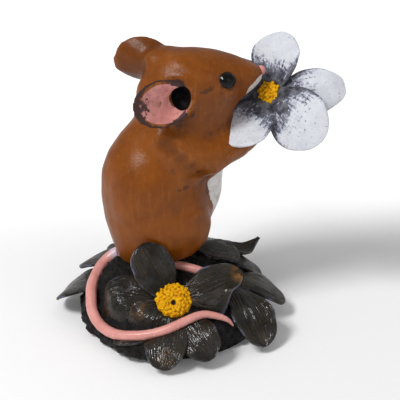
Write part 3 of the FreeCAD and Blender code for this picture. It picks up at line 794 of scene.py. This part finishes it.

# %% [markdown]
# Over the browns come the smudges, some of them painted shade, the white of belly and lips, and
# the ears: rose inside with dark specks, a dark edge whose paint is chipped, and the canal, nearly
# black as painted shade. Noise is added to each mask before it is cut off at a level, so its
# border is ragged.

# %% White, rose and dark layers


def marks_on_coat(tree, place, colours, tone):
    """Smudges, white belly and lips, and the pale place at the tail."""
    # dark smudges, and painted shade by the crease and on the thigh
    ragged = plus(tree, read_mask(tree, "smudge"), torn(tree, place, 900.0, 0.2, 0.9))
    tone = lay(tree, tone, colours["smudge"], step_node(tree, ragged, 0.45, 0.8), 0.62)
    chalk = blend_node(tree, patches(tree, place, 500.0, 0.6, 0.2), colours["chalk"],
                       colours["thin_chalk"])
    tear = torn(tree, place, 600.0, 0.3, 0.5)
    for name, strength in (("belly", 0.95), ("lips", 0.9), ("lilac", 0.7)):
        ragged = plus(tree, read_mask(tree, name), tear)
        tone = lay(tree, tone, chalk, step_node(tree, ragged, 0.4, 0.65), strength)
    return tone


def marks_in_ears(tree, place, colours, tone, deep):
    """Rose ears with specks, a chipped dark edge and a nearly black canal."""
    rose = blend_node(tree, patches(tree, place, 300.0, 0.5, 0.2), colours["rose"],
                      colours["dark_rose"])
    rose = lay(tree, rose, colours["rose_speck"], patches(tree, place, 1100.0, 0.6, 0.06), 0.4)
    tone = lay(tree, tone, rose, step_node(tree, read_mask(tree, "inside"), 0.3, 0.6))
    chipped = plus(tree, read_mask(tree, "edge"), torn(tree, place, 1000.0, 0.2, 0.7))
    tone = lay(tree, tone, colours["ear_edge"], step_node(tree, chipped, 0.35, 0.6), 0.92)
    # painted shade: the canal nearly black
    return lay(tree, tone, colours["canal"], deep)


print("marks on coat and ears: ready")

# %% [markdown]
# One material paints the coat and the ears, so that the brown runs on from one to the other. A thin
# clear coat gives it the satin light of the real paint. The clear coat follows the brush marks too,
# or its glints would be as sharp as cut paper, and it fades out in the canal.

# %% Coat paint
COAT_GLOSS = 0.46
COAT_GRAIN, COAT_DENTS = 0.45, 0.9


def coat_paint():
    material, tree, shader, place = paint("mouse_coat", 0.42, COAT_GLOSS, 0.33, specular=0.05)
    # painted shade: where the canals are painted nearly black
    deep = step_node(tree, read_mask(tree, "canal"), 0.35, 0.6)
    tone = brown_layers(tree, place, COAT_COLOURS)
    tone = marks_on_coat(tree, place, COAT_COLOURS, tone)
    tone = marks_in_ears(tree, place, COAT_COLOURS, tone, deep)
    brush_on(tree, shader, place, tone, COAT_GRAIN, COAT_DENTS)
    tree.links.new(times(tree, minus(tree, 1.0, deep), COAT_GLOSS), shader.inputs["Coat Weight"])
    worked = worked_height(tree, place, COAT_GRAIN, COAT_DENTS)
    tree.links.new(bump_node(tree, worked, *PAINT_RELIEF), shader.inputs["Coat Normal"])
    return material


COAT = coat_paint()
dress(mouse, COAT, "brown_fur", "mouse_body", "right_arm", "left_arm")
for word, ear in ears.items():
    dress(ear, COAT, "ear_paint", f"{word}_ear")

# %% [markdown]
# ## Eyes and nose
#
# An eye is a drop of glossy black paint in a shallow socket. It is nearly black all over, so it
# shows little else than the lamp's small highlight. The bare skin of nose, tail, feet and paws has
# one satin pink with paler specks.

# %% Black and pink paint


def gloss_black():
    material, tree, shader, place = paint("black_gloss", 0.09, specular=0.22)
    colours = palette(black=(6, 5, 6), soft_black=(16, 13, 15))
    tone = blend_node(tree, patches(tree, place, 600.0, 0.5, 0.3), colours["black"],
                      colours["soft_black"])
    brush_on(tree, shader, place, tone, 0.02, 0.08)
    return material


def pink_paint():
    material, tree, shader, place = paint("pink_paint", 0.36, 0.2, 0.2, specular=0.4)
    colours = palette(pink=(228, 160, 151), deep_pink=(212, 141, 132), pale_speck=(240, 186, 182),
                      lilac=(214, 200, 216))
    tone = blend_node(tree, patches(tree, place, 260.0, 0.5, 0.2), colours["pink"],
                      colours["deep_pink"])
    tone = lay(tree, tone, colours["pale_speck"], patches(tree, place, 1300.0, 0.68, 0.05))
    tone = lay(tree, tone, colours["lilac"], read_mask(tree, "lilac"), 0.8)
    brush_on(tree, shader, place, tone, 0.3, 0.6)
    return material


BLACK = gloss_black()
PINK = pink_paint()
print("paints:", BLACK.name, PINK.name)

# %% [markdown]
# The eyes and the nose are round drops on the real casting. Their solids have the right size, so
# smooth copies are enough. The eyes are drawn out forwards a little, because they bulge, and the
# nose is set back into the muzzle.

# %% Eyes and nose
EYE_MIDDLE, EYE_FRONT, EYE_BULGE = 17.6, 17.3, 1.22

for word in ("right", "left"):
    eye = copy_of(f"{word}_eye_bead", f"{word}_eye")
    melt(eye, 0.14, 12)
    bead = mouse_frame(points_of(eye))
    bead[:, 0] = EYE_FRONT + (bead[:, 0] - EYE_MIDDLE) * EYE_BULGE
    put_points(eye, bead @ np.array(MOUSE_TURN).T + np.array(MOUSE_SEAT))
    dress(eye, BLACK, "black_gloss", f"{word}_eye")
nose = copy_of("nose", "nose_tip")
melt(nose, 0.12, 16)
put_points(nose, points_of(nose) + np.array(turned(-0.8, 0.0, 0.35)))
dress(nose, PINK, "pink_paint", "nose_tip")

# %% [markdown]
# ## Tail, feet and paws
#
# These are round rods. A curve with a bevel could make them anew, but their solids have the right
# run and thickness, so fine smooth copies are enough. The tail has a pale lilac patch where it
# leaves the body.

# %% Tail, feet and paws
tail = copy_of("tail_skin", "tail")
melt(tail, 0.22, 14)
mask(tail, "lilac", near_to(points_of(tail), (-13.6, 3.4, 16.0), 1.5, 3.6))
dress(tail, PINK, "pink_paint", "tail")
for word in ("right", "left"):
    foot = copy_of(f"{word}_foot_skin", f"{word}_foot")
    melt(foot, 0.18, 8)
    dress(foot, PINK, "pink_paint", f"{word}_foot")
    paw = copy_of(f"{word}_paw_skin", f"{word}_paw")
    melt(paw, 0.14, 14)
    dress(paw, PINK, "pink_paint", f"{word}_paw")

# %% [markdown]
# ## Petals
#
# A petal of the casting is a thin dished leaf with a narrow root, a full middle and a round tip.
# Its half width follows a curve along its length. Two numbers form the end of that curve: one pair
# gives the round tip that most petals have, and one the pointed tip of a curled leaf.

# %% Outline of a petal
ROOT_SHARE = 0.36
WIDEST = 0.55
ROUND_TIP = (2.1, 0.53)
POINTED_TIP = (1.4, 0.95)


def outline(share, blunt, power):
    """Half width of a petal at a share of its length, from its root at 0 to its tip at 1."""
    if share < WIDEST:
        rise = share / WIDEST
        return ROOT_SHARE + (1 - ROOT_SHARE) * math.sin(rise * math.pi / 2) ** 1.1
    fall = (share - WIDEST) / (1 - WIDEST)
    return max(0.08, (1 - fall ** blunt) ** power)


print("outline:", [round(outline(step / 8, *ROUND_TIP), 2) for step in range(9)])

# %% [markdown]
# A petal starts as a flat grid, which keeps its rows and columns in order. They are scaled to the
# outline, the columns are lifted into a shallow dish and the rows into an arch. Noise makes the
# leaf wavy and its rim uneven, because no two petals were carved alike.

# %% Form of a petal


def petal_places(grid, root, tip, up, width, dish, arch, curl, wave, seed, tip_form):
    """Places of a petal's points, from where they lie across and along its grid."""
    root, tip, up = Vector(root), Vector(tip), Vector(up)
    length = (tip - root).length
    along = (tip - root).normalized()
    normal = (up - along * up.dot(along)).normalized()
    side = along.cross(normal)
    places = []
    for across, share in grid:
        spread = across * outline(share, *tip_form)
        ripple = noise.noise(Vector((spread * 1.4 + seed * 7.1, share * 3.0, seed * 3.3)))
        rim = noise.noise(Vector((seed * 5.7 + (3.0 if across > 0 else 0.0), share * 5.0, 1.7)))
        nick = noise.noise(Vector((spread * 1.3, seed * 2.9, 4.4))) * 0.06 * share ** 3
        lift = 4 * arch * length * share * (1 - share)
        lift -= curl * length * max(0.0, share - 0.6) ** 2 * 4
        lift += dish * width * spread ** 2 + wave * ripple * (0.3 + abs(spread))
        places.append(list(root + along * (length * (share - max(0.0, nick))) + normal * lift
                           + side * (width / 2 * spread * (1 + 0.09 * rim))))
    return np.array(places)


print("form of a petal: ready")

# %% [markdown]
# The tail lies on top of the front petals. So a petal's grid is pressed down wherever the tail
# passes over it, before it gets its thickness.

# %% Room for the tail
TAIL_REACH = 3.0
tail_points = points_of(tail)


def press_under_tail(places, thickness):
    """Lower a petal's places until the tail clears them."""
    for index, place in enumerate(places):
        gap = np.linalg.norm(tail_points[:, :2] - place[:2], axis=1)
        nearest = gap.min()
        if nearest > TAIL_REACH:
            continue
        around = tail_points[gap < nearest + 1.0]
        underside = (around[:, 2].min() * 2 + around[:, 2].max()) / 3 - thickness
        share = 1 - float(soft_step(0.8, TAIL_REACH, nearest))
        places[index][2] -= share * max(0.0, place[2] - underside)
    return places


print("tail points:", len(tail_points))

# %% [markdown]
# Rows that lie closer together towards the tip keep it round. A vertex group makes the Solidify
# modifier thinner at the rim, and subdivision rounds the edge. The grid brings its own UV map, so
# that streaks of paint can run from the root to the tip.

# %% One petal
ROWS = 22
COLUMNS = 12
ROW_SPACING = 1.5


def petal(name, root, tip, up, width, dish, arch, thickness, wave, seed, curl=0.0,
          under_tail=False, tip_form=ROUND_TIP):
    """Petal from its root to its tip, in millimetres."""
    bpy.ops.object.select_all(action="DESELECT")
    bpy.ops.mesh.primitive_grid_add(x_subdivisions=COLUMNS, y_subdivisions=ROWS, size=2,
                                    calc_uvs=True)
    obj = bpy.context.object
    obj.name = name
    body = obj.vertex_groups.new(name="body")
    grid = []
    for point in obj.data.vertices:
        across, share = point.co.x, 1 - ((1 - point.co.y) / 2) ** ROW_SPACING
        grid.append((across, share))
        body.add([point.index], 1 - max(abs(across), 2 * share - 1, 0.0) ** 2, "REPLACE")
    places = petal_places(grid, root, tip, up, width, dish, arch, curl, wave, seed, tip_form)
    if under_tail:
        places = press_under_tail(places, thickness)
    put_points(obj, places)
    apply_modifier(obj, "SOLIDIFY", thickness=thickness * MM, offset=1.0, vertex_group="body",
                   thickness_vertex_group=0.5)
    apply_modifier(obj, "SUBSURF", levels=2, render_levels=2)
    bpy.ops.object.shade_smooth()
    return obj


print("one petal: ready")

# %% [markdown]
# Two flowers use the same petal. A flower has a place and a way that it faces, and each petal is
# given by its compass angle round the heart.

# %% Petals of a flower


def flower_place(centre, normal):
    """Turn and place of a flower: its own plane is x and y."""
    normal = Vector(normal).normalized()
    side = Vector((0, 0, 1)).cross(normal).normalized()
    upward = normal.cross(side)
    turn = Matrix((side, upward, normal)).transposed().to_4x4()
    return Matrix.Translation(Vector(centre)) @ turn


def flower_petal(name, place, azimuth, length_share, width_share, root_rise, tip_rise, dish, arch,
                 *, length, width, inner, **more):
    """Petal that starts at the inner radius and leaves the heart at a compass angle."""
    out = Vector((math.cos(math.radians(azimuth)), math.sin(math.radians(azimuth)), 0))
    root = out * inner + Vector((0, 0, length * root_rise))
    tip = out * (length * length_share) + Vector((0, 0, length * tip_rise))
    return petal(name, place @ root, place @ tip, place.to_3x3() @ Vector((0, 0, 1)),
                 width * width_share, dish, arch, **more)


print("flower petals: ready")

# %% [markdown]
# ## White flower
#
# Its petals are white over slate. The white was brushed on from the tips inwards, so it is solid at
# the tips and breaks into specks and dry streaks towards the heart. One level, which rises along
# the petal and is torn by three noises, says how much white there is.

# %% White paint
WHITE_COLOURS = palette(
    dark_slate=(36, 34, 40), slate=(74, 74, 88), bluish=(158, 162, 184), white=(217, 220, 226),
    worn=(176, 180, 192), fleck=(84, 86, 100))


def side_of(tree, run):
    """How far a place is from a petal's middle line: 0 on it and 0.5 at the rim."""
    return math_node(tree, "ABSOLUTE", minus(tree, split(tree, run)["X"], 0.5))


def white_level(tree, place):
    """How much white lies on a place: more towards the tip and less at the rim."""
    run = new_node(tree, "ShaderNodeUVMap").outputs["UV"]
    thin_rim = times(tree, step_node(tree, side_of(tree, run), 0.42, 0.5), 0.16)
    level = minus(tree, split(tree, run)["Y"], thin_rim)
    streaks = stretch(tree, run, (30.0, 4.0, 1.0))
    for source, strength in ((noise_node(tree, place, 1300.0, 6.0, 0.75), 0.8),
                             (noise_node(tree, place, 330.0, 4.0), 0.5),
                             (noise_node(tree, streaks, 1.0, 3.0, 0.6), 0.4)):
        level = plus(tree, level, times(tree, minus(tree, source, 0.5), strength))
    return level


def white_paint():
    material, tree, shader, place = paint("white_paint", 0.5, specular=0.35)
    level = white_level(tree, place)
    colours = WHITE_COLOURS
    tone = blend_node(tree, step_node(tree, level, 0.05, 0.33), colours["dark_slate"],
                      colours["slate"])
    tone = lay(tree, tone, colours["bluish"], step_node(tree, level, 0.25, 0.33))
    tone = lay(tree, tone, colours["white"], step_node(tree, level, 0.29, 0.42))
    tone = lay(tree, tone, colours["worn"], patches(tree, place, 420.0, 0.52, 0.16), 0.3)
    tone = lay(tree, tone, colours["fleck"], patches(tree, place, 1500.0, 0.655, 0.03), 0.85)
    brush_on(tree, shader, place, tone, 1.0, 1.0)
    return material


WHITE = white_paint()
print("paint:", WHITE.name)

# %% [markdown]
# The flower stands up in the paws, under the nose, and faces up and to the left. Its petals differ:
# the top one stands up past the muzzle, the right one hangs down and the low left one rises
# towards the arm.

# %% Petals of the white flower
BLOOM_PLACE = flower_place(mouse_place(29.6, -0.6, 42.6), (-0.50, -0.70, 0.50))
BLOOM_SIZES = {"length": 18.0, "width": 14.5, "thickness": 1.2, "inner": 1.2, "wave": 0.35}
BLOOM = [  # name, solid, angle, shares of length and width, rise of root and tip, dish, arch
    ("bloom_far", "bloom_petal_far", 178, 0.80, 0.90, -0.07, -0.06, 0.08, 0.06),
    ("bloom_top", "bloom_petal_top", 94, 0.86, 0.94, -0.07, -0.04, 0.10, 0.08),
    ("bloom_right", "bloom_petal_right", 20, 1.00, 0.76, -0.12, -0.34, -0.10, 0.14),
    ("bloom_low_left", "bloom_petal_low_left", -98, 0.85, 0.98, -0.07, 0.42, 0.06, -0.02),
    ("bloom_low_right", "bloom_petal_low_right", -22, 1.06, 1.08, -0.05, -0.06, -0.06, 0.12),
]
for count, (name, node_name, *shape) in enumerate(BLOOM):
    made = flower_petal(name, BLOOM_PLACE, *shape, **BLOOM_SIZES, seed=count + 1)
    dress(made, WHITE, "white_paint", node_name)

# %% [markdown]
# ## Dark petals
#
# The base is dark bronze under a glossy lacquer. It is rubbed to brown on the high places, some
# petals are worn to gold, and some rims are brushed with a little pale blue. The streaks of the
# bronze run along the petals, so they follow the UV map.

# %% Tones of the bronze
BRONZE_COLOURS = palette(dark=(17, 16, 13), brownish=(40, 31, 18), rubbed=(112, 84, 46),
                         gold=(172, 116, 52), pale_blue=(136, 140, 176))


def bronze_tone(tree, place, run, streaks, colours):
    """Dark bronze, rubbed to brown and gold, with a little pale blue on the rims."""
    tone = blend_node(tree, patches(tree, place, 170.0, 0.5, 0.2), colours["dark"],
                      colours["brownish"])
    high = step_node(tree, streaks, 0.55, 0.72)
    rubbed = times(tree, high, patches(tree, place, 240.0, 0.5, 0.15))
    tone = lay(tree, tone, colours["rubbed"], rubbed, 0.75)
    gold = times(tree, read_mask(tree, "worn"), patches(tree, place, 500.0, 0.5, 0.12))
    tone = lay(tree, tone, colours["gold"], gold)
    rim = math_node(tree, "MAXIMUM", step_node(tree, side_of(tree, run), 0.45, 0.5),
                    step_node(tree, split(tree, run)["Y"], 0.95, 1.0))
    chalk = times(tree, rim, patches(tree, place, 260.0, 0.55, 0.1))
    return lay(tree, tone, colours["pale_blue"], chalk, 0.45)


print("tones of the bronze:", list(BRONZE_COLOURS))

# %% [markdown]
# The lacquer is a clear coat. It lies thick on the front petals and on two at the right, and thin on
# the others, so a mask gives its weight. It has ridges of its own along the petal, broader than the
# metal's, and they break the lamp's light into glints.

# %% Dark paint


def dark_paint():
    material, tree, shader, place = paint("dark_petal", 0.42, 0.5, 0.07, specular=0.15)
    run = new_node(tree, "ShaderNodeUVMap").outputs["UV"]
    streaks = noise_node(tree, stretch(tree, run, (22.0, 2.0, 1.0)), 1.0, 4.0, 0.6)
    tone = bronze_tone(tree, place, run, streaks, BRONZE_COLOURS)
    tree.links.new(tone, shader.inputs["Base Color"])
    metal = plus(tree, streaks, times(tree, noise_node(tree, place, 900.0, 3.0), 0.35))
    metal = plus(tree, metal, times(tree, noise_node(tree, place, 260.0, 3.0), 1.4))
    tree.links.new(bump_node(tree, metal, 0.8, 0.0008), shader.inputs["Normal"])
    thick = plus(tree, times(tree, read_mask(tree, "lacquer"), 0.62), 0.18)
    lacquer = times(tree, patches(tree, place, 150.0, 0.47, 0.14), thick)
    tree.links.new(plus(tree, lacquer, 0.15), shader.inputs["Coat Weight"])
    ridges = noise_node(tree, stretch(tree, run, (11.0, 1.6, 1.0)), 1.0, 2.0)
    ridges = plus(tree, times(tree, ridges, 2.0),
                  times(tree, noise_node(tree, place, DENT_SCALE, 3.0), 0.9))
    tree.links.new(bump_node(tree, ridges, 0.6, 0.0008), shader.inputs["Coat Normal"])
    return material


DARK = dark_paint()
print("paint:", DARK.name)

# %% [markdown]
# Ten petals grow out of the mound in a ring. Each is given by the compass angle, the reach and the
# height of its root and its tip, as shares of the base's radius and height. The curled one has a
# pointed tip and bends upwards.

# %% Petals round the mound
BASE_RADIUS = 24.0
BASE_HEIGHT = 15.0
BASE_WIDTH = 12.0
BASE_PETALS = [  # name, root, tip, share of width, dish, arch, curl
    ("left_low", (184, 0.60, 0.60), (169, 1.23, 0.10), 1.30, 0.03, 0.09, 0.00),
    ("left_high", (152, 0.52, 0.76), (149, 1.15, 0.38), 0.90, 0.05, 0.07, 0.00),
    ("back_left", (122, 0.60, 0.76), (118, 1.22, 0.16), 1.00, 0.06, 0.10, 0.10),
    ("back", (93, 0.62, 0.76), (92, 1.20, 0.20), 1.00, 0.06, 0.10, -0.10),
    ("back_right", (64, 0.60, 0.76), (67, 1.24, 0.20), 1.00, 0.06, 0.10, 0.00),
    ("curl", (44, 0.46, 0.92), (42, 1.26, 0.60), 0.76, 0.18, -0.13, -0.10),
    ("right_broad", (50, 0.36, 0.98), (16, 0.74, 0.88), 0.86, 0.05, 0.06, 0.10),
    ("right_short", (28, 0.58, 0.78), (21, 1.03, 0.32), 0.72, 0.06, 0.08, 0.00),
    ("right_far", (-2, 0.60, 0.66), (-2, 1.17, 0.16), 0.84, 0.06, 0.10, -0.10),
    ("right_cupped", (-20, 0.68, 0.66), (-40, 1.24, 0.05), 0.98, 0.10, 0.12, -0.10),
]
GLOSSY = ("right_cupped", "right_far")


def base_place(azimuth, reach, rise):
    """Place on the base from its compass angle, reach and height shares."""
    return Vector((BASE_RADIUS * reach * math.cos(math.radians(azimuth)),
                   BASE_RADIUS * reach * math.sin(math.radians(azimuth)), BASE_HEIGHT * rise))


for count, (name, root, tip, wide, dish, arch, curl) in enumerate(BASE_PETALS):
    made = petal(f"petal_{name}_leaf", base_place(*root), base_place(*tip), (0, 0, 1),
                 BASE_WIDTH * wide, dish, arch, thickness=1.3, curl=curl, wave=0.7, seed=count + 11,
                 tip_form=POINTED_TIP if name == "curl" else ROUND_TIP)
    lacquer = 0.8 if name in GLOSSY else 0.2
    mask(made, "lacquer", np.full(len(made.data.vertices), lacquer))
    dress(made, DARK, "dark_petal", f"petal_{name}")

# %% [markdown]
# The second flower leans against the front of the mound, so its place is tilted forwards. The tail
# lies over it, and only its upper petal is out of the tail's way. Hands have worn the right petal to
# gold at its tip, and two others a little.

# %% Petals of the front flower
FRONT_TILT = math.radians(38.0)
FRONT_PLACE = flower_place((0.5, -15.6, 12.8), (0, -math.sin(FRONT_TILT), math.cos(FRONT_TILT)))
FRONT_SIZES = {"length": 15.0, "width": 11.0, "thickness": 1.3, "inner": 1.9, "wave": 0.5}
FRONT_PETALS = [  # name, angle, shares of length and width, rise of root and tip, dish, arch
    ("lower_left", -99, 1.24, 1.00, -0.12, 0.00, 0.10, 0.04),
    ("lower_right", -58, 1.22, 0.96, -0.12, -0.04, 0.10, 0.04),
    ("left", -150, 1.10, 0.78, -0.08, -0.02, 0.22, 0.02),
    ("left_upper", 170, 1.20, 0.86, -0.12, -0.14, 0.12, 0.05),
    ("right", 25, 1.24, 0.84, -0.10, -0.10, 0.16, 0.06),
    ("up", 125, 0.98, 1.02, -0.08, 0.46, 0.12, -0.03),
]
WORN_PLACES = {  # place in the flower, near, far and strength
    "right": ((18.0, 7.6, -1.5), 1.5, 5.0, 0.9),
    "left": ((-9.5, -2.0, 0.0), 0.8, 4.2, 0.3),
    "lower_left": ((-2.0, -15.5, 0.0), 0.8, 4.0, 0.12),
}
for count, (name, *shape) in enumerate(FRONT_PETALS):
    made = flower_petal(f"front_{name}_leaf", FRONT_PLACE, *shape, **FRONT_SIZES,
                        seed=count + 31, under_tail=name != "up")
    mask(made, "lacquer", np.ones(len(made.data.vertices)))
    if name in WORN_PLACES:
        spot, near, far, strength = WORN_PLACES[name]
        spot = FRONT_PLACE @ Vector(spot)
        mask(made, "worn", strength * near_to(points_of(made), spot, near, far))
    dress(made, DARK, "dark_petal", f"front_petal_{name}")

# %% [markdown]
# ## Yellow hearts
#
# The hearts are painted in a warm yellow. It is darker between the grains, and the bottom of the
# small hole in the front heart is painted dark, as painted shade. Both are masks over the points,
# as on the coat.

# %% Yellow paint


def yellow_paint():
    material, tree, shader, place = paint("yellow_paint", 0.45, specular=0.15)
    colours = palette(yellow=(218, 152, 0), light_yellow=(238, 182, 8), pooled=(146, 84, 6),
                      hole=(24, 16, 10))
    tone = blend_node(tree, patches(tree, place, 700.0, 0.5, 0.2), colours["yellow"],
                      colours["light_yellow"])
    # darker between the grains, where the hollow mask is high
    deep = step_node(tree, read_mask(tree, "hollow"), 0.54, 0.9)
    tone = lay(tree, tone, colours["pooled"], deep, 0.75)
    # painted shade: the bottom of the front heart's hole is nearly black
    tone = lay(tree, tone, colours["hole"], read_mask(tree, "hole"))
    brush_on(tree, shader, place, tone, 0.8, 0.6)
    return material


YELLOW = yellow_paint()
print("paint:", YELLOW.name)

# %% [markdown]
# A heart is a dome of coarse grains. A bump in the material would leave its outline smooth, so the
# grains are real: small beads sit on the dome in a spiral, as the seeds of a flower do, at uneven
# heights. A bare spot is left where the front heart has its hole.

# %% Grains on a dome
GOLDEN_TURN = 2.39996  # the angle between one seed and the next, in radians
HOLE_RADIUS = 0.75


def grains(place, radius, height, grain, count, hole):
    """Beads on a dome, in a spiral, with a bare spot where the hole is."""
    beads = []
    for index in range(count):
        share = math.sqrt((index + 0.5) / count)
        turn = index * GOLDEN_TURN
        uneven = noise.noise(Vector((index * 1.7, 3.1, 0.4)))
        spot = Vector((radius * share * math.cos(turn), radius * share * math.sin(turn),
                       height * math.sqrt(1 - share * share) + 0.45 * uneven))
        if hole and (spot.xy - Vector(hole)).length < HOLE_RADIUS:
            continue
        bpy.ops.object.select_all(action="DESELECT")
        radius_here = grain * (1 + 0.4 * uneven) * MM
        bpy.ops.mesh.primitive_ico_sphere_add(subdivisions=1, radius=radius_here,
                                              location=(place @ spot) * MM)
        beads.append(bpy.context.object)
    return beads


print("grains on a dome: ready")

# %% [markdown]
# Loose beads would look like beads. So dome and beads are remeshed into one lumpy crust, which a
# cloud texture roughens. Then the front heart gets its hole, pressed in as with a needle.

# %% Two hearts
CRUST = bpy.data.textures.new("crust", "CLOUDS")
CRUST.noise_scale = 0.0008
CRUST.noise_depth = 2
CRUST_DEPTH = 0.0007


def granular_heart(name, node_name, place, radius, height, grain, count, hole=None):
    """Lumpy heart over a copy of its solid. Its sizes are in millimetres."""
    dome = copy_of(name, node_name)
    swell(dome, -0.25)
    join(dome, *grains(place, radius, height, grain, count, hole))
    melt(dome, 0.13, 1)
    apply_modifier(dome, "DISPLACE", texture=CRUST, texture_coords="LOCAL", strength=CRUST_DEPTH,
                   mid_level=0.5)
    if hole:
        top = place @ Vector((*hole, height))
        dab(dome, top, 0.9, place.to_3x3() @ Vector((0, 0, -1.4)))
        bottom = top - place.to_3x3() @ Vector((0, 0, 1.0))
        # painted shade: the bottom of the hole is painted nearly black
        mask(dome, "hole", near_to(points_of(dome), bottom, 0.45, HOLE_RADIUS, (1, 1, 2)))
    mask(dome, "hollow", hollows(dome, 6, 4.0))
    dress(dome, YELLOW, "yellow_paint", node_name)


granular_heart("front_heart", "front_flower_heart", FRONT_PLACE, 4.3, 2.3, 0.5, 74, (0.0, -1.3))
granular_heart("white_flower_heart", "bloom_heart", BLOOM_PLACE, 2.9, 1.4, 0.44, 40)

# %% [markdown]
# ## Mound, stem, felt and dowel
#
# Under the petals the casting is rough, like coarse earth. The roughness shows at the outline, so
# the copy's points are moved by a cloud texture, and a bump adds what is finer. The mound is pulled
# out at the front left, where it shows between the petals, and kept above the felt.

# %% The mound
ROUGH_COLOURS = palette(black=(18, 17, 17), grey=(40, 36, 34))
EARTH = bpy.data.textures.new("earth", "CLOUDS")
EARTH.noise_scale = 0.0022
EARTH.noise_depth = 4
EARTH_DEPTH = 0.0028
LOWEST = 0.9


def rough_dark():
    material, tree, shader, place = paint("dark_bronze", 0.6, specular=0.3)
    tone = blend_node(tree, patches(tree, place, 500.0, 0.55, 0.15), ROUGH_COLOURS["black"],
                      ROUGH_COLOURS["grey"])
    tree.links.new(tone, shader.inputs["Base Color"])
    height = noise_node(tree, place, 1100.0, 6.0, 0.7)
    tree.links.new(bump_node(tree, height, 1.0, 0.0012), shader.inputs["Normal"])
    return material


mound = copy_of("mound", "base_mound")
melt(mound, 0.5, 4)
apply_modifier(mound, "DISPLACE", texture=EARTH, texture_coords="LOCAL", strength=EARTH_DEPTH,
               mid_level=0.5)
dab(mound, Vector((-9.0, -23.0, 3.0)), 15.0, Vector((-0.6, -2.4, 0.0)))
rough = points_of(mound)
rough[:, 2] = np.maximum(rough[:, 2], LOWEST)
put_points(mound, rough)
dress(mound, rough_dark(), "dark_bronze", "base_mound")

# %% [markdown]
# The felt under the base, the short stem in the paws and the hidden dowel are plain round pieces.
# Their solids already have that shape, so they are kept as they are. They only get materials,
# each a mottled tone between two colours with a surface of its own.

# %% Felt, stem and dowel


def mottled(name, scale, detail, dark, light, grain, dents, **gloss):
    """Plain material that wavers between two tones."""
    material, tree, shader, place = paint(name, **gloss)
    tone = blend_node(tree, noise_node(tree, place, scale, detail), srgb(*dark), srgb(*light))
    brush_on(tree, shader, place, tone, grain, dents)
    return material


KEPT_SOLIDS = {
    "felt_pad": mottled("felt", 3000.0, 2.0, (20, 20, 20), (56, 56, 56), 2.0, 0.2,
                        roughness=0.95, specular=0.1),
    "bloom_stem": mottled("slate_paint", 900.0, 4.0, (40, 42, 48), (80, 82, 96), 0.5, 0.5,
                          roughness=0.5),
    "fixing_dowel": mottled("steel", 2000.0, 4.0, (150, 150, 152), (190, 190, 194), 0.3, 0.1,
                            roughness=0.3, metallic=1.0),
}
for node_name, material in KEPT_SOLIDS.items():
    mesh = nodes[node_name].data
    mesh.materials.clear()
    mesh.materials.append(material)
    print(node_name, "gets", material.name)

# %% [markdown]
# ## Studio
#
# The figurine stands on a white sweep in soft light from the left. A brighter lamp would bleach the
# paint, so the white is made another way: the floor itself shines a little for camera rays only,
# more behind the figurine than in front of it. It still keeps a soft shadow.

# %% Floor
bpy.ops.object.select_all(action="DESELECT")
bpy.ops.mesh.primitive_plane_add(size=6, location=(0, 0, 0))
floor = bpy.context.object
floor.name = "floor"
floor_material, tree, shader, place = paint("floor", 0.8, specular=0.1)
FLOOR_COLOURS = palette(white=(250, 250, 251), whiter=(253, 253, 254))
tone = blend_node(tree, noise_node(tree, place, 3.0, 2.0), FLOOR_COLOURS["white"],
                  FLOOR_COLOURS["whiter"])
tree.links.new(tone, shader.inputs["Base Color"])
floor_place = split(tree, place)
bright_behind = plus(tree, times(tree, step_node(tree, floor_place["Y"], 0.02, 0.10), 0.3), 0.03)
bright_left = times(tree, step_node(tree, floor_place["X"], 0.03, -0.05), 0.05)
sweep = plus(tree, bright_behind, bright_left)
seen = tree.nodes.new("ShaderNodeLightPath").outputs["Is Camera Ray"]
tree.links.new(times(tree, sweep, seen), shader.inputs["Emission Strength"])
shader.inputs["Emission Color"].default_value = (1, 1, 1, 1)
floor.data.materials.append(floor_material)
print("floor:", floor.dimensions[0], "m wide")

# %% [markdown]
# Camera rays that pass the floor see plain white, and everything else gets a weaker light from all
# round, which keeps the shade soft.

# %% World
WORLD_LIGHT = 0.38
SEEN_EXTRA = 0.62

world = bpy.data.worlds.new("studio")
bpy.context.scene.world = world
world.use_nodes = True
tree = world.node_tree
background = tree.nodes["Background"]
background.inputs["Color"].default_value = (1, 1, 1, 1)
seen = tree.nodes.new("ShaderNodeLightPath").outputs["Is Camera Ray"]
strength = plus(tree, times(tree, seen, SEEN_EXTRA), WORLD_LIGHT)
tree.links.new(strength, background.inputs["Strength"])
print("world light:", WORLD_LIGHT)

# %% [markdown]
# Two soft lamps light the figurine. The key stands high on the left in front, so that the ear and
# the head throw their shade to the right, and a weak fill opens that shade from the other side.

# %% Lamps


def lamp(name, place, target, size, power):
    """Square lamp that shines from its place towards a target."""
    data = bpy.data.lights.new(name, "AREA")
    data.size = size
    data.energy = power
    made = bpy.data.objects.new(name, data)
    made.location = place
    made.rotation_euler = (Vector(target) - Vector(place)).to_track_quat("-Z", "Y").to_euler()
    bpy.context.scene.collection.objects.link(made)
    print(name, "lamp:", power, "W")


lamp("key", (-0.66, -0.48, 1.08), (0, 0, 0.03), 0.36, 11.6)
lamp("fill", (0.45, -0.45, 0.35), (0, 0, 0.03), 0.5, 0.45)

# %% [markdown]
# ## Camera
#
# The photo looks down on the figurine a little, from a fair distance. A short lens close by would
# swell what is near, so a long lens is used from further off.

# %% Camera
CAMERA_TARGET = Vector((7.0, 2.0, 31.5)) * MM
CAMERA_LEAN = math.radians(28.0)
CAMERA_DISTANCE = 0.45
lens = bpy.data.cameras.new("camera")
lens.lens = 162.0
lens.sensor_width = 36.0
camera = bpy.data.objects.new("camera", lens)
away = Vector((0, -math.cos(CAMERA_LEAN), math.sin(CAMERA_LEAN)))
camera.location = CAMERA_TARGET + away * CAMERA_DISTANCE
camera.rotation_euler = (CAMERA_TARGET - camera.location).to_track_quat("-Z", "Y").to_euler()
bpy.context.scene.collection.objects.link(camera)
bpy.context.scene.camera = camera
bpy.context.scene.view_settings.view_transform = "Standard"
